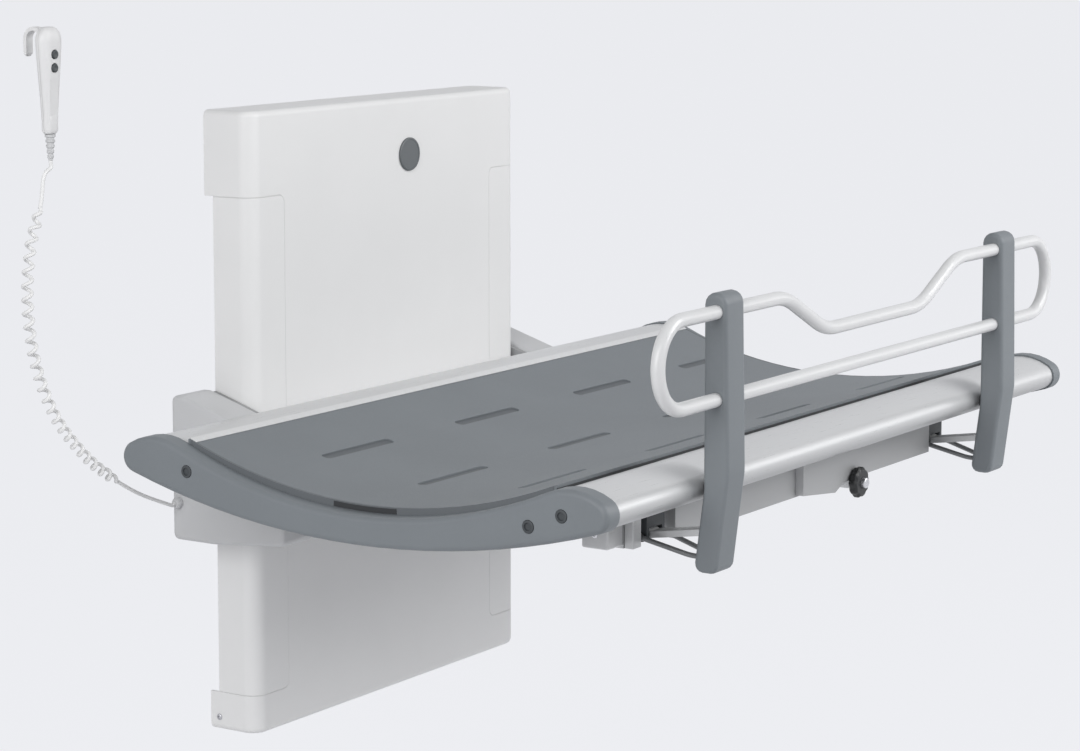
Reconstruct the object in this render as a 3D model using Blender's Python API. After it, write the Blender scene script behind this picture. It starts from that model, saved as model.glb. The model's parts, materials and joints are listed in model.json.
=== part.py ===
"""Wall-hung changing bench: a powered lift carries a folding trough bench with a swing-down guard.

Metres, +Z up, +X along the wall to the right, +Y into the wall. The origin lies on the back of the
wall plate, level with the bench's edge. The lift stands part way up, the bench is down and the guard up.
"""
import math

import bmesh
import bpy
from mathutils import Matrix, Vector

# Gaps between pieces
SEAT_GAP = 0.0003
PIN_GAP = 0.0004
SEAM_GAP = 0.0008
OVERCUT = 0.010

# Lift unit on the wall
COVER_WIDTH = 0.704
COVER_DEPTH = 0.088
COVER_TOP = 0.452
COVER_BOTTOM = -0.490
COVER_WALL = 0.004
COVER_CORNER = 0.025
COVER_EDGE = 0.009
COLUMN_WIDTH = 0.081
COLUMN_TOP = 0.324
COLUMN_BOTTOM = -0.431
COLUMN_CORNER = 0.012
CARRIAGE_SLOT = 0.0165
PLATE_THICKNESS = 0.003
PLATE_MARGIN = 0.0015
PLATE_INSET = 0.045
CROSSHEAD_HEIGHT = 0.034
CROSSHEAD_DEPTH = 0.058
DRIVE_DEPTH = 0.040
GUIDE_RADIUS = 0.010
GUIDE_INSET = 0.052
SPINDLE_RADIUS = 0.009
BADGE_RADIUS = 0.0265
BADGE_THICKNESS = 0.003
BADGE_X = 0.047
BADGE_Z = 0.362

# Carriage that climbs the lift
BEAM_THICKNESS = 0.009
BEAM_WALL_GAP = 0.002
BEAM_TOP = 0.012
BEAM_BOTTOM = -0.160
BEAM_TENON = 0.025
SLIDER_WIDTH = 0.054
SLIDER_DEPTH = 0.046
SLIDER_HEIGHT = 0.150
NUT_WIDTH = 0.090
NUT_DEPTH = 0.056
NUT_HEIGHT = 0.100
MOTOR_RADIUS = 0.025
MOTOR_LENGTH = 0.120
CONTROL_WIDTH = 0.130
CONTROL_DEPTH = 0.050
CONTROL_HEIGHT = 0.110
CONTROL_X = -0.140
ARM_SIDE_GAP = 0.012
ARM_WIDTH = 0.074
ARM_BACK = 0.002
ARM_TOP = 0.035
ARM_SHOULDER = 0.022
ARM_SLOPE = 0.31
ARM_BOTTOM = -0.182
ARM_REACH = 0.211
ARM_FRONT_RISE = 0.012
ARM_ROUND = 0.007
ARM_CORNER = 0.010
ARM_KNEE = 0.030
LUG_WIDTH = 0.028
LUG_RADIUS = 0.013
LUG_SIDE_GAP = 0.0015
PIN_RADIUS = 0.006
PIN_BITE = 0.013
CRADLE_GAP = 0.0030

# Trough bench
BENCH_LENGTH = 1.386
BENCH_DEPTH = 0.795
BENCH_BACK = 0.129
NOSE_RADIUS = 0.0225
NOSE_DROP = 0.0035
TROUGH_RADIUS = 0.760
TROUGH_LOW = -0.043
HUMP_RADIUS = 0.090
BELLY_LOW = -0.083
CAP_THICKNESS = 0.030
CAP_ROUND = 0.008
CAP_PROUD = 0.0025
RAIL_LIP = 0.002
TRAY_LOW = -0.0335
TRAY_RADIUS = 0.800
TRAY_THICKNESS = 0.007
SEAL_WIDTH = 0.004
SEAL_DROP = 0.0005
EDGING_WIDTH = 0.004
EDGING_DEPTH = 0.016
DRAIN_LENGTH = 0.104
DRAIN_HEIGHT = 0.0045
DRAIN_DROP = 0.0025
RAIL_WALL = 0.006
CHAMBER_WIDTH = 0.034
SLOT_LENGTH = 0.160
SLOT_WIDTH = 0.016
SLOT_DEPTH = 0.003
SLOT_FIRST_X = -0.430
SLOT_PITCH_X = 0.325
SLOT_COLUMNS = 4
SLOT_ROWS = (0.185, 0.020, -0.145)
RIB_WIDTH = 0.040
RIB_PITCH = 0.400
RIB_DEPTH = 0.030
PLUG_RADIUS = 0.0088
PLUG_DEPTH = 0.006
PLUG_PROUD = 0.0012
PLUG_PLACES = ((0.281, -0.0136), (-0.279, -0.0256), (-0.329, -0.0066))

# Swing-down guard
GUARD_X = -0.021
POST_INSET = 0.1695
POST_WIDTH = 0.049
POST_DEPTH = 0.038
POST_TOP_DEPTH = 0.0335
POST_FOOT_DEPTH = 0.035
POST_TOP = 0.258
POST_BOTTOM = -0.114
POST_KNEE = -0.005
POST_BELLY = 0.020
POST_KICK = 0.0145
POST_BEND = 0.080
POST_ROUND = 0.006
GUARD_CLEARANCE = 0.0035
TUBE_RADIUS = 0.0095
TUBE_LENGTH = 1.179
TUBE_UPPER = 0.233
TUBE_LOWER = 0.118
TUBE_DIP = 0.175
DIP_TOP_WIDTH = 0.525
DIP_BOTTOM_WIDTH = 0.290
DIP_BEND = 0.120
BUFFER_WIDTH = 0.026
BUFFER_HEIGHT = 0.018
PIVOT_INSET = 0.0675
PIVOT_Z = -0.075
BRACKET_WIDTH = 0.046
BRACKET_DEPTH = 0.016
BRACKET_BRIDGE = 0.006
EAR_THICKNESS = 0.0065
BAIL_RADIUS = 0.0035
BAIL_WIDTH = 0.058
BAIL_POST_WIDTH = 0.036
BAIL_BEND = 0.0050
BAIL_POST_Z = -0.093
BAIL_BITE = 0.012
BAIL_LEVEL = 0.010
STRAP_WIDTH = 0.028
STRAP_THICKNESS = 0.009
STRAP_EYE = 0.0075
STRAP_POST_Z = -0.062

# Beam under the front rail, from bracket to bracket
UNDER_FRONT = 0.074
UNDER_DEPTH = 0.065
UNDER_TOP = -0.036
UNDER_LOW = -0.087
UNDER_NOTCH = 0.0375
UNDER_STEP = 0.024
UNDER_BRIDGE = -0.052
UNDER_END = 0.018

# Pull knob under the front rail
KNOB_X = 0.090
KNOB_Z = -0.0885
KNOB_RADIUS = 0.023
KNOB_THICKNESS = 0.014
KNOB_FLUTES = 10
FLUTE_DEPTH = 0.0018
KNOB_CAP_RADIUS = 0.008
KNOB_CAP_PROUD = 0.007
KNOB_SHAFT_RADIUS = 0.005
LATCH_PROUD = 0.012
LATCH_DEPTH = 0.062
LATCH_LEFT = 0.157
LATCH_KEEL = 0.059
LATCH_CHAMFER = 0.033
LATCH_RIGHT = 0.020
LATCH_LOW = -0.0955
LATCH_SIDE_LOW = -0.0845
BOSS_RADIUS = 0.011

# Handset on its curly cord
HANDSET_X = -0.735
HANDSET_Y = -0.047
HANDSET_TOP = 0.590
HANDSET_LENGTH = 0.147
HANDSET_TOP_WIDTH = 0.042
HANDSET_FOOT_WIDTH = 0.024
HANDSET_TOP_DEPTH = 0.024
HANDSET_FOOT_DEPTH = 0.016
HOOK_REACH = 0.034
HOOK_WIDTH = 0.014
HOOK_THICKNESS = 0.0055
HOOK_DROP = 0.024
BUTTON_RADIUS = 0.0060
BUTTON_LENGTH = 0.0060
BUTTON_PROUD = 0.0020
BUTTON_REST_GAP = 0.0016
UP_BUTTON_Z = 0.552
DOWN_BUTTON_Z = 0.5335
RELIEF_LENGTH = 0.036
RELIEF_TOP_RADIUS = 0.0075
RELIEF_FOOT_RADIUS = 0.0045
RELIEF_RIBS = 5
CORD_RADIUS = 0.0025
CURL_RADIUS = 0.0060
CURLS = 26
POINTS_PER_CURL = 8
GLAND_RADIUS = 0.008
GLAND_LENGTH = 0.010
GLAND_WALL_DISTANCE = 0.016
GLAND_Z = -0.125
CORD_BOW = (
    (-0.748, -0.046, 0.385),
    (-0.755, -0.045, 0.345),
    (-0.773, -0.042, 0.290),
    (-0.777, -0.038, 0.213),
    (-0.760, -0.034, 0.128),
    (-0.717, -0.029, 0.046),
    (-0.651, -0.024, -0.021),
    (-0.595, -0.021, -0.060),
    (-0.530, -0.018, -0.096),
)
CURL_START = 0.09
CURL_END = 0.80

# Places that follow from the sizes above
COVER_HALF = COVER_WIDTH / 2
GUIDE_X = COVER_HALF - GUIDE_INSET
BENCH_HALF = BENCH_LENGTH / 2
BENCH_MID_Y = -(BENCH_BACK + BENCH_DEPTH / 2)
NOSE_Y = BENCH_DEPTH / 2 - NOSE_RADIUS
NOSE_Z = -NOSE_DROP
HINGE_Y = BENCH_MID_Y + NOSE_Y
RAIL_END = BENCH_HALF - CAP_THICKNESS - SEAT_GAP
ARM_INNER = COVER_HALF + ARM_SIDE_GAP
ARM_OUTER = ARM_INNER + ARM_WIDTH
ARM_MID = (ARM_INNER + ARM_OUTER) / 2
BEAM_BACK = -(PLATE_THICKNESS + BEAM_WALL_GAP)
BEAM_FRONT = BEAM_BACK - BEAM_THICKNESS
BENCH_FRONT = -(BENCH_BACK + BENCH_DEPTH)
POST_BACK = BENCH_FRONT - GUARD_CLEARANCE
POST_SPACING = TUBE_LENGTH - 2 * POST_INSET
GUARD_Y = POST_BACK - POST_DEPTH / 2
PIVOT_Y = BENCH_FRONT + PIVOT_INSET + NOSE_RADIUS
UNDER_FACE = BENCH_FRONT + UNDER_FRONT
LATCH_FACE = UNDER_FACE - LATCH_PROUD
HANDSET_FOOT = HANDSET_TOP - HANDSET_LENGTH


def clear_scene():
    for old in list(bpy.data.objects):
        bpy.data.objects.remove(old, do_unlink=True)


def finish(name, colour, roughness, metallic):
    """Principled material with the piece's colour and gloss."""
    made = bpy.data.materials.new(name)
    made.use_nodes = True
    shader = made.node_tree.nodes["Principled BSDF"]
    shader.inputs["Base Color"].default_value = (*colour, 1.0)
    shader.inputs["Roughness"].default_value = roughness
    shader.inputs["Metallic"].default_value = metallic
    made.diffuse_color = (*colour, 1.0)
    return made


def joint_axis(name, place, carrier=None):
    """Empty on a joint's axis, which carries the pieces that move with it."""
    empty = bpy.data.objects.new(name, None)
    bpy.context.scene.collection.objects.link(empty)
    empty.location = place
    if carrier:
        empty.parent = carrier
        empty.matrix_parent_inverse = Matrix.Translation(carrier.location).inverted()
    return empty


def add(name, data, look=None, body=None):
    piece = bpy.data.objects.new(name, data)
    bpy.context.scene.collection.objects.link(piece)
    if look:
        data.materials.append(look)
    if body:
        piece.parent = body
        piece.matrix_parent_inverse = Matrix.Translation(body["place"]).inverted()
    return piece


def at(axis, along, u, v):
    """Point on an outline drawn across an axis."""
    return {"X": (along, u, v), "Y": (u, along, v), "Z": (u, v, along)}[axis]


def arc(centre, radius, start, end, steps):
    """Points of an arc from one angle to another, both ends included."""
    angles = [start + (end - start) * k / steps for k in range(steps + 1)]
    return [(centre[0] + radius * math.cos(a), centre[1] + radius * math.sin(a)) for a in angles]


def circle(centre, radius, sides):
    return arc(centre, radius, 0.0, 2 * math.pi, sides)[:-1]


def filleted(corners, steps=5):
    """Closed outline through corners (u, v, radius), each rounded by an arc of its radius."""
    outline = []
    for i, (u, v, radius) in enumerate(corners):
        here = Vector((u, v))
        if radius <= 0.0:
            outline.append((u, v))
            continue
        back = (Vector(corners[i - 1][:2]) - here).normalized()
        ahead = (Vector(corners[(i + 1) % len(corners)][:2]) - here).normalized()
        half = back.angle(ahead) / 2
        centre = here + (back + ahead).normalized() * (radius / math.sin(half))
        first = here + back * (radius / math.tan(half)) - centre
        last = here + ahead * (radius / math.tan(half)) - centre
        start = math.atan2(first.y, first.x)
        turn = (math.atan2(last.y, last.x) - start + math.pi) % (2 * math.pi) - math.pi
        outline.extend(arc(centre, radius, start, start + turn, steps))
    return outline


def shrunk(corners, inset):
    """Corners of an anticlockwise outline moved inwards, with their rounding kept even."""
    moved = []
    for i, (u, v, radius) in enumerate(corners):
        here = Vector((u, v))
        back = (here - Vector(corners[i - 1][:2])).normalized()
        ahead = (Vector(corners[(i + 1) % len(corners)][:2]) - here).normalized()
        inward = Vector((-back.y - ahead.y, back.x + ahead.x)) / (1 + back.dot(ahead))
        moved.append((u + inward.x * inset, v + inward.y * inset, max(radius - inset, 0.0)))
    return moved


def rectangle(u0, u1, v0, v1, radius=0.0, steps=4):
    return filleted([(u0, v0, radius), (u1, v0, radius), (u1, v1, radius), (u0, v1, radius)], steps)


def loft(name, rings, look=None, body=None, sharp=math.radians(35)):
    """Closed solid through rings of points, with a flat face at each end."""
    bm = bmesh.new()
    loops = [[bm.verts.new(point) for point in ring] for ring in rings]
    for low, high in zip(loops, loops[1:]):
        for i in range(len(low)):
            j = (i + 1) % len(low)
            bm.faces.new((low[i], low[j], high[j], high[i]))
    bm.faces.new(loops[0])
    bm.faces.new(loops[-1])
    bmesh.ops.recalc_face_normals(bm, faces=bm.faces)
    mesh = bpy.data.meshes.new(name)
    bm.to_mesh(mesh)
    bm.free()
    mesh.shade_smooth()
    mesh.set_sharp_from_angle(angle=sharp)
    return add(name, mesh, look, body)


def prism(name, axis, outline, start, end, look=None, body=None):
    rings = [[at(axis, along, u, v) for u, v in outline] for along in (start, end)]
    return loft(name, rings, look, body)


def box(name, low, high, look=None, body=None):
    return prism(name, "Z", rectangle(low[0], high[0], low[1], high[1]), low[2], high[2], look, body)


def turned(name, axis, centre, profile, sides, look=None, body=None):
    """Solid of revolution from (distance along the axis, radius) pairs."""
    rings = [[at(axis, along, u, v) for u, v in circle(centre, radius, sides)] for along, radius in profile]
    return loft(name, rings, look, body)


def tube(name, points, radius, resolution, closed, look=None, body=None):
    """Round bar along a path."""
    curve = bpy.data.curves.new(name, "CURVE")
    curve.dimensions = "3D"
    curve.bevel_depth = radius
    curve.bevel_resolution = resolution
    curve.use_fill_caps = not closed
    spline = curve.splines.new("POLY")
    spline.points.add(len(points) - 1)
    for point, place in zip(spline.points, points):
        point.co = (*place, 1.0)
    spline.use_cyclic_u = closed
    return add(name, curve, look, body)


def work(piece, how, tool):
    """Cut, join or keep what a hidden tool shape covers."""
    tool.hide_render = True
    tool.display_type = "WIRE"
    step = piece.modifiers.new(tool.name, "BOOLEAN")
    step.operation = how
    step.solver = "EXACT"
    step.object = tool


def cut(piece, *tools):
    for tool in tools:
        work(piece, "DIFFERENCE", tool)


def soften(piece, width, segments=2, angle=math.radians(50)):
    """Round the sharp edges of a piece."""
    step = piece.modifiers.new("edges", "BEVEL")
    step.width = width
    step.segments = segments
    step.limit_method = "ANGLE"
    step.angle_limit = angle


def rounded_ends(low, high, radius, steps=3):
    """Stations (distance along, inset) of a solid whose two end edges are quarter rounds."""
    turns = [math.pi / 2 * k / steps for k in range(steps + 1)]
    first = [(low + radius * (1 - math.cos(t)), radius * (1 - math.sin(t))) for t in turns]
    last = [(high - radius * (1 - math.cos(t)), radius * (1 - math.sin(t))) for t in reversed(turns)]
    return first + last


# Bench section: trough, hump, nose and belly arcs that run smoothly into each other
BELLY_SINK = BELLY_LOW - NOSE_Z
BELLY_RADIUS = -(NOSE_Y ** 2 + BELLY_SINK ** 2 - NOSE_RADIUS ** 2) / (2 * (BELLY_SINK + NOSE_RADIUS))
BELLY_CENTRE = Vector((0.0, BELLY_LOW + BELLY_RADIUS))
TROUGH_CENTRE = Vector((0.0, TROUGH_LOW + TROUGH_RADIUS))
NOSE_CENTRE = Vector((NOSE_Y, NOSE_Z))


def hump_centre():
    """Centre of the arc that touches the trough from outside and holds the nose inside."""
    reach = TROUGH_RADIUS + HUMP_RADIUS
    hold = HUMP_RADIUS - NOSE_RADIUS
    across = NOSE_CENTRE - TROUGH_CENTRE
    apart = across.length
    along = (reach ** 2 - hold ** 2 + apart ** 2) / (2 * apart)
    aside = math.sqrt(reach ** 2 - along ** 2)
    toward = across / apart
    return TROUGH_CENTRE + toward * along - Vector((-toward.y, toward.x)) * aside


HUMP_CENTRE = hump_centre()
RAIL_INNER = HUMP_CENTRE.x * TROUGH_RADIUS / (TROUGH_RADIUS + HUMP_RADIUS) - RAIL_LIP
TRAY_HALF = RAIL_INNER - SEAL_WIDTH - 2 * SEAT_GAP


def angle_of(vector):
    return math.atan2(vector.y, vector.x)


def section(inset, inner=0.0):
    """Half of the bench section from its top to its belly, both at the distance inner from its middle."""
    trough = TROUGH_RADIUS + inset
    belly = BELLY_RADIUS - inset
    to_hump = angle_of(HUMP_CENTRE - TROUGH_CENTRE)
    to_nose = angle_of(NOSE_CENTRE - HUMP_CENTRE)
    to_belly = angle_of(NOSE_CENTRE - BELLY_CENTRE)
    top_start = -math.acos(inner / trough)
    belly_end = -math.acos(inner / belly)
    points = arc(TROUGH_CENTRE, trough, top_start, to_hump, 3 if inner else 12)
    points += arc(HUMP_CENTRE, HUMP_RADIUS - inset, to_hump + math.pi, to_nose, 6)[1:]
    points += arc(NOSE_CENTRE, NOSE_RADIUS - inset, to_nose, to_belly, 10)[1:]
    points += arc(BELLY_CENTRE, belly, to_belly, belly_end, 3 if inner else 10)[1:]
    return points


def whole_section(inset):
    """Closed bench section, both halves."""
    half = section(inset)
    return half + [(-y, z) for y, z in reversed(half[1:-1])]


def bench_ring(x, outline, side=1):
    """Outline across the bench, set at a place along its length."""
    return [(x, BENCH_MID_Y + side * y, z) for y, z in outline]


def rail_shape(name, inset, start, end, side, look=None, body=None):
    outline = section(inset, RAIL_INNER)
    return loft(name, [bench_ring(x, outline, side) for x in (start, end)], look, body)


def tray_height(y, depth=0.0):
    """Height of the tray's top, or of a surface below it, at a distance from the bench's middle."""
    return TRAY_LOW + TRAY_RADIUS - math.sqrt((TRAY_RADIUS + depth) ** 2 - y ** 2)


def tray_outline(half, top, bottom, steps):
    """Closed outline between two depths below the tray's top."""
    ys = [-half + 2 * half * k / steps for k in range(steps + 1)]
    return [(y, tray_height(y, top)) for y in ys] + [(y, tray_height(y, bottom)) for y in reversed(ys)]


def cover_plan(inset, back):
    """Outline of the lift cover seen from above, inset from its outside."""
    half = COVER_HALF - inset
    front = inset - COVER_DEPTH
    corner = COVER_CORNER - inset
    return filleted([(-half, back, 0), (half, back, 0), (half, front, corner), (-half, front, corner)])


def column_opening(name, side, gap, front, back):
    """Tool through the cover where a column stands, rounded towards the middle."""
    inner = COVER_HALF - COLUMN_WIDTH + gap
    outer = COVER_HALF + OVERCUT
    low = COLUMN_BOTTOM + gap
    high = COLUMN_TOP - gap
    corner = COLUMN_CORNER - gap
    outline = filleted([(side * inner, low, corner), (side * outer, low, 0),
                        (side * outer, high, 0), (side * inner, high, corner)])
    return prism(name, "Y", outline, front, back)


def make_cover(look, body):
    rings = []
    for z, inset in rounded_ends(COVER_BOTTOM, COVER_TOP, COVER_EDGE):
        rings.append([(x, y, z) for x, y in cover_plan(inset, 0.0)])
    cover = loft("main_cover", rings, look, body)
    inside = cover_plan(COVER_WALL, OVERCUT)
    cut(cover, prism("cover_inside", "Z", inside, COVER_BOTTOM + COVER_WALL, COVER_TOP - COVER_WALL))
    for side, word in ((-1, "left"), (1, "right")):
        cut(cover, column_opening(word + "_column_gap", side, 0.0, -COVER_DEPTH - OVERCUT, 2 * OVERCUT))


def make_column(side, word, look, body):
    inner = COVER_HALF - COLUMN_WIDTH - OVERCUT
    front = -COVER_DEPTH
    skin = COVER_HALF - COVER_WALL
    outline = filleted([(side * inner, front, 0), (side * COVER_HALF, front, COVER_CORNER),
                        (side * COVER_HALF, -CARRIAGE_SLOT, 0), (side * skin, -CARRIAGE_SLOT, 0),
                        (side * skin, front + COVER_WALL, COVER_CORNER - COVER_WALL),
                        (side * inner, front + COVER_WALL, 0)])
    low, high = COLUMN_BOTTOM - OVERCUT, COLUMN_TOP + OVERCUT
    column = prism(word + "_column_cover", "Z", outline, low, high, look, body)
    keep = column_opening(word + "_column_edge", side, SEAM_GAP, front - OVERCUT, OVERCUT)
    work(column, "INTERSECT", keep)


def make_lift(looks, body):
    make_cover(looks["white"], body)
    plate_half = COVER_HALF - PLATE_INSET
    inner_low = COVER_BOTTOM + COVER_WALL + PLATE_MARGIN
    inner_high = COVER_TOP - COVER_WALL - PLATE_MARGIN
    plate = rectangle(-plate_half, plate_half, inner_low, inner_high)
    prism("wall_plate", "Y", plate, 0.0, -PLATE_THICKNESS, looks["steel"], body)
    badge_back = -COVER_DEPTH - SEAT_GAP
    badge = [(badge_back, BADGE_RADIUS), (badge_back - BADGE_THICKNESS * 0.6, BADGE_RADIUS),
             (badge_back - BADGE_THICKNESS, BADGE_RADIUS - BADGE_THICKNESS * 0.5)]
    turned("round_badge", "Y", (BADGE_X, BADGE_Z), badge, 32, looks["dark"], body)
    for side, word in ((-1, "left"), (1, "right")):
        make_column(side, word, looks["white"], body)
    head_half = COVER_HALF - COVER_WALL - SEAT_GAP
    head_back = -PLATE_THICKNESS - SEAT_GAP
    bars = {"left_guide_bar": (-GUIDE_X, GUIDE_RADIUS), "lift_spindle": (0.0, SPINDLE_RADIUS),
            "right_guide_bar": (GUIDE_X, GUIDE_RADIUS)}
    for word, low in (("bottom", inner_low), ("top", inner_high - CROSSHEAD_HEIGHT)):
        head = box(word + "_crosshead", (-head_half, head_back - CROSSHEAD_DEPTH, low),
                   (head_half, head_back, low + CROSSHEAD_HEIGHT), looks["steel"], body)
        for name, (x, radius) in bars.items():
            span = [(low - OVERCUT, radius + SEAT_GAP), (low + CROSSHEAD_HEIGHT + OVERCUT, radius + SEAT_GAP)]
            cut(head, turned(word + "_seat_" + name, "Z", (x, -DRIVE_DEPTH), span, 20))
    for name, (x, radius) in bars.items():
        ends = [(inner_low, radius), (inner_high, radius)]
        turned(name, "Z", (x, -DRIVE_DEPTH), ends, 20, looks["bright"], body)


def make_slider(side, word, looks, body):
    x = side * GUIDE_X
    middle = (BEAM_TOP + BEAM_BOTTOM) / 2
    low, high = middle - SLIDER_HEIGHT / 2, middle + SLIDER_HEIGHT / 2
    front = BEAM_FRONT - SEAT_GAP
    slider = box(word + "_slider_block", (x - SLIDER_WIDTH / 2, front - SLIDER_DEPTH, low),
                 (x + SLIDER_WIDTH / 2, front, high), looks["dark"], body)
    soften(slider, 0.003)
    bore = [(low - OVERCUT, GUIDE_RADIUS + PIN_GAP), (high + OVERCUT, GUIDE_RADIUS + PIN_GAP)]
    cut(slider, turned(word + "_slider_bore", "Z", (x, -DRIVE_DEPTH), bore, 20))


def arm_profile(inset):
    """Side view of an arm: a deep bracket whose top slopes down to the bench."""
    slope_end = ARM_TOP + ARM_SLOPE * (HINGE_Y + ARM_SHOULDER)
    front_low = ARM_BOTTOM + ARM_FRONT_RISE
    front_high = NOSE_Z - NOSE_RADIUS
    knee = -ARM_REACH * 0.36
    corners = [(-ARM_BACK, ARM_BOTTOM, ARM_CORNER), (-ARM_BACK, ARM_TOP, ARM_CORNER),
               (-ARM_SHOULDER, ARM_TOP, ARM_CORNER), (HINGE_Y, slope_end, 0.0),
               (-ARM_REACH, front_high, 0.0), (-ARM_REACH, front_low, ARM_CORNER),
               (knee, ARM_BOTTOM, ARM_KNEE)]
    return filleted(shrunk(corners, inset), 4)


def hinge_bore(name, radius, half_length, x):
    ends = [(x - half_length, radius), (x + half_length, radius)]
    return turned(name, "X", (HINGE_Y, NOSE_Z), ends, 24)


def make_arm(side, word, looks, body):
    x = side * ARM_MID
    stations = rounded_ends(x - ARM_WIDTH / 2, x + ARM_WIDTH / 2, ARM_ROUND)
    rings = [[(place, y, z) for y, z in arm_profile(inset)] for place, inset in stations]
    arm = loft(word + "_arm", rings, looks["grey"], body)
    reach = ARM_WIDTH / 2 + OVERCUT
    cut(arm, rail_shape(word + "_arm_saddle", CAP_PROUD - SEAT_GAP, x - reach, x + reach, 1))
    cut(arm, hinge_bore(word + "_arm_cradle", NOSE_RADIUS + CRADLE_GAP, reach, x))
    tenon = sorted((side * (ARM_INNER - OVERCUT), side * (ARM_INNER + BEAM_TENON + SEAT_GAP)))
    cut(arm, box(word + "_arm_mortise", (tenon[0], BEAM_FRONT - SEAT_GAP, BEAM_BOTTOM - SEAT_GAP),
                 (tenon[1], BEAM_BACK + SEAT_GAP, BEAM_TOP + SEAT_GAP)))
    root = NOSE_Z - NOSE_RADIUS - CRADLE_GAP - OVERCUT
    trunk = [(HINGE_Y - LUG_RADIUS, root), (HINGE_Y + LUG_RADIUS, root)]
    outline = trunk + arc((HINGE_Y, NOSE_Z), LUG_RADIUS, 0.0, math.pi, 10)
    lug = prism(word + "_arm_lug", "X", outline, x - LUG_WIDTH / 2, x + LUG_WIDTH / 2)
    work(arm, "UNION", lug)
    cut(arm, hinge_bore(word + "_lug_bore", PIN_RADIUS + SEAT_GAP, LUG_WIDTH, x))
    pin_half = LUG_WIDTH / 2 + LUG_SIDE_GAP + PIN_BITE
    ends = [(x - pin_half, PIN_RADIUS), (x + pin_half, PIN_RADIUS)]
    turned(word + "_hinge_pin", "X", (HINGE_Y, NOSE_Z), ends, 24, looks["bright"], body)


def make_gland(looks, body):
    centre = (-GLAND_WALL_DISTANCE, GLAND_Z)
    face = -ARM_OUTER - SEAT_GAP
    profile = [(face, GLAND_RADIUS), (face - GLAND_LENGTH * 0.6, GLAND_RADIUS),
               (face - GLAND_LENGTH, GLAND_RADIUS * 0.7)]
    turned("cord_gland", "X", centre, profile, 20, looks["dark"], body)


def make_carriage(looks, body):
    end = ARM_INNER + BEAM_TENON
    box("carriage_beam", (-end, BEAM_FRONT, BEAM_BOTTOM), (end, BEAM_BACK, BEAM_TOP), looks["steel"], body)
    front = BEAM_FRONT - SEAT_GAP
    middle = (BEAM_TOP + BEAM_BOTTOM) / 2
    nut_low, nut_high = middle - NUT_HEIGHT / 2, middle + NUT_HEIGHT / 2
    nut = box("nut_housing", (-NUT_WIDTH / 2, front - NUT_DEPTH, nut_low), (NUT_WIDTH / 2, front, nut_high),
              looks["steel"], body)
    soften(nut, 0.004)
    bore = [(nut_low - OVERCUT, SPINDLE_RADIUS + PIN_GAP), (nut_high + OVERCUT, SPINDLE_RADIUS + PIN_GAP)]
    cut(nut, turned("nut_bore", "Z", (0.0, -DRIVE_DEPTH), bore, 20))
    motor_start = NUT_WIDTH / 2 + SEAT_GAP
    shoulder = MOTOR_RADIUS * 0.8
    motor = [(motor_start, shoulder), (motor_start + 0.010, shoulder), (motor_start + 0.010, MOTOR_RADIUS),
             (motor_start + MOTOR_LENGTH, MOTOR_RADIUS)]
    turned("lift_motor", "X", (front - NUT_DEPTH / 2, middle), motor, 24, looks["dark"], body)
    control = box("control_box", (CONTROL_X - CONTROL_WIDTH / 2, front - CONTROL_DEPTH, middle - CONTROL_HEIGHT / 2),
                  (CONTROL_X + CONTROL_WIDTH / 2, front, middle + CONTROL_HEIGHT / 2), looks["grey"], body)
    soften(control, 0.005)
    for side, word in ((-1, "left"), (1, "right")):
        make_slider(side, word, looks, body)
        make_arm(side, word, looks, body)
    make_gland(looks, body)


def make_end_cap(side, word, looks, body):
    inner = BENCH_HALF - CAP_THICKNESS
    stations = [(inner, 0.0)] + rounded_ends(inner, BENCH_HALF, CAP_ROUND, 4)[5:]
    rings = [bench_ring(side * x, whole_section(inset)) for x, inset in stations]
    cap = loft(word + "_end_cap", rings, looks["slate"], body)
    for number, (y, z) in enumerate(PLUG_PLACES, 1):
        place = (BENCH_MID_Y + y, z)
        floor = side * (BENCH_HALF - PLUG_DEPTH)
        hole = [(floor, PLUG_RADIUS + SEAT_GAP), (side * (BENCH_HALF + OVERCUT), PLUG_RADIUS + SEAT_GAP)]
        cut(cap, turned("%s_plug_hole_%d" % (word, number), "X", place, hole, 16))
        seat = floor + side * SEAT_GAP
        rim = side * BENCH_HALF
        plug = [(seat, PLUG_RADIUS), (rim, PLUG_RADIUS), (rim + side * PLUG_PROUD, PLUG_RADIUS * 0.72)]
        turned("%s_cap_plug_%d" % (word, number), "X", place, plug, 16, looks["dark"], body)


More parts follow.
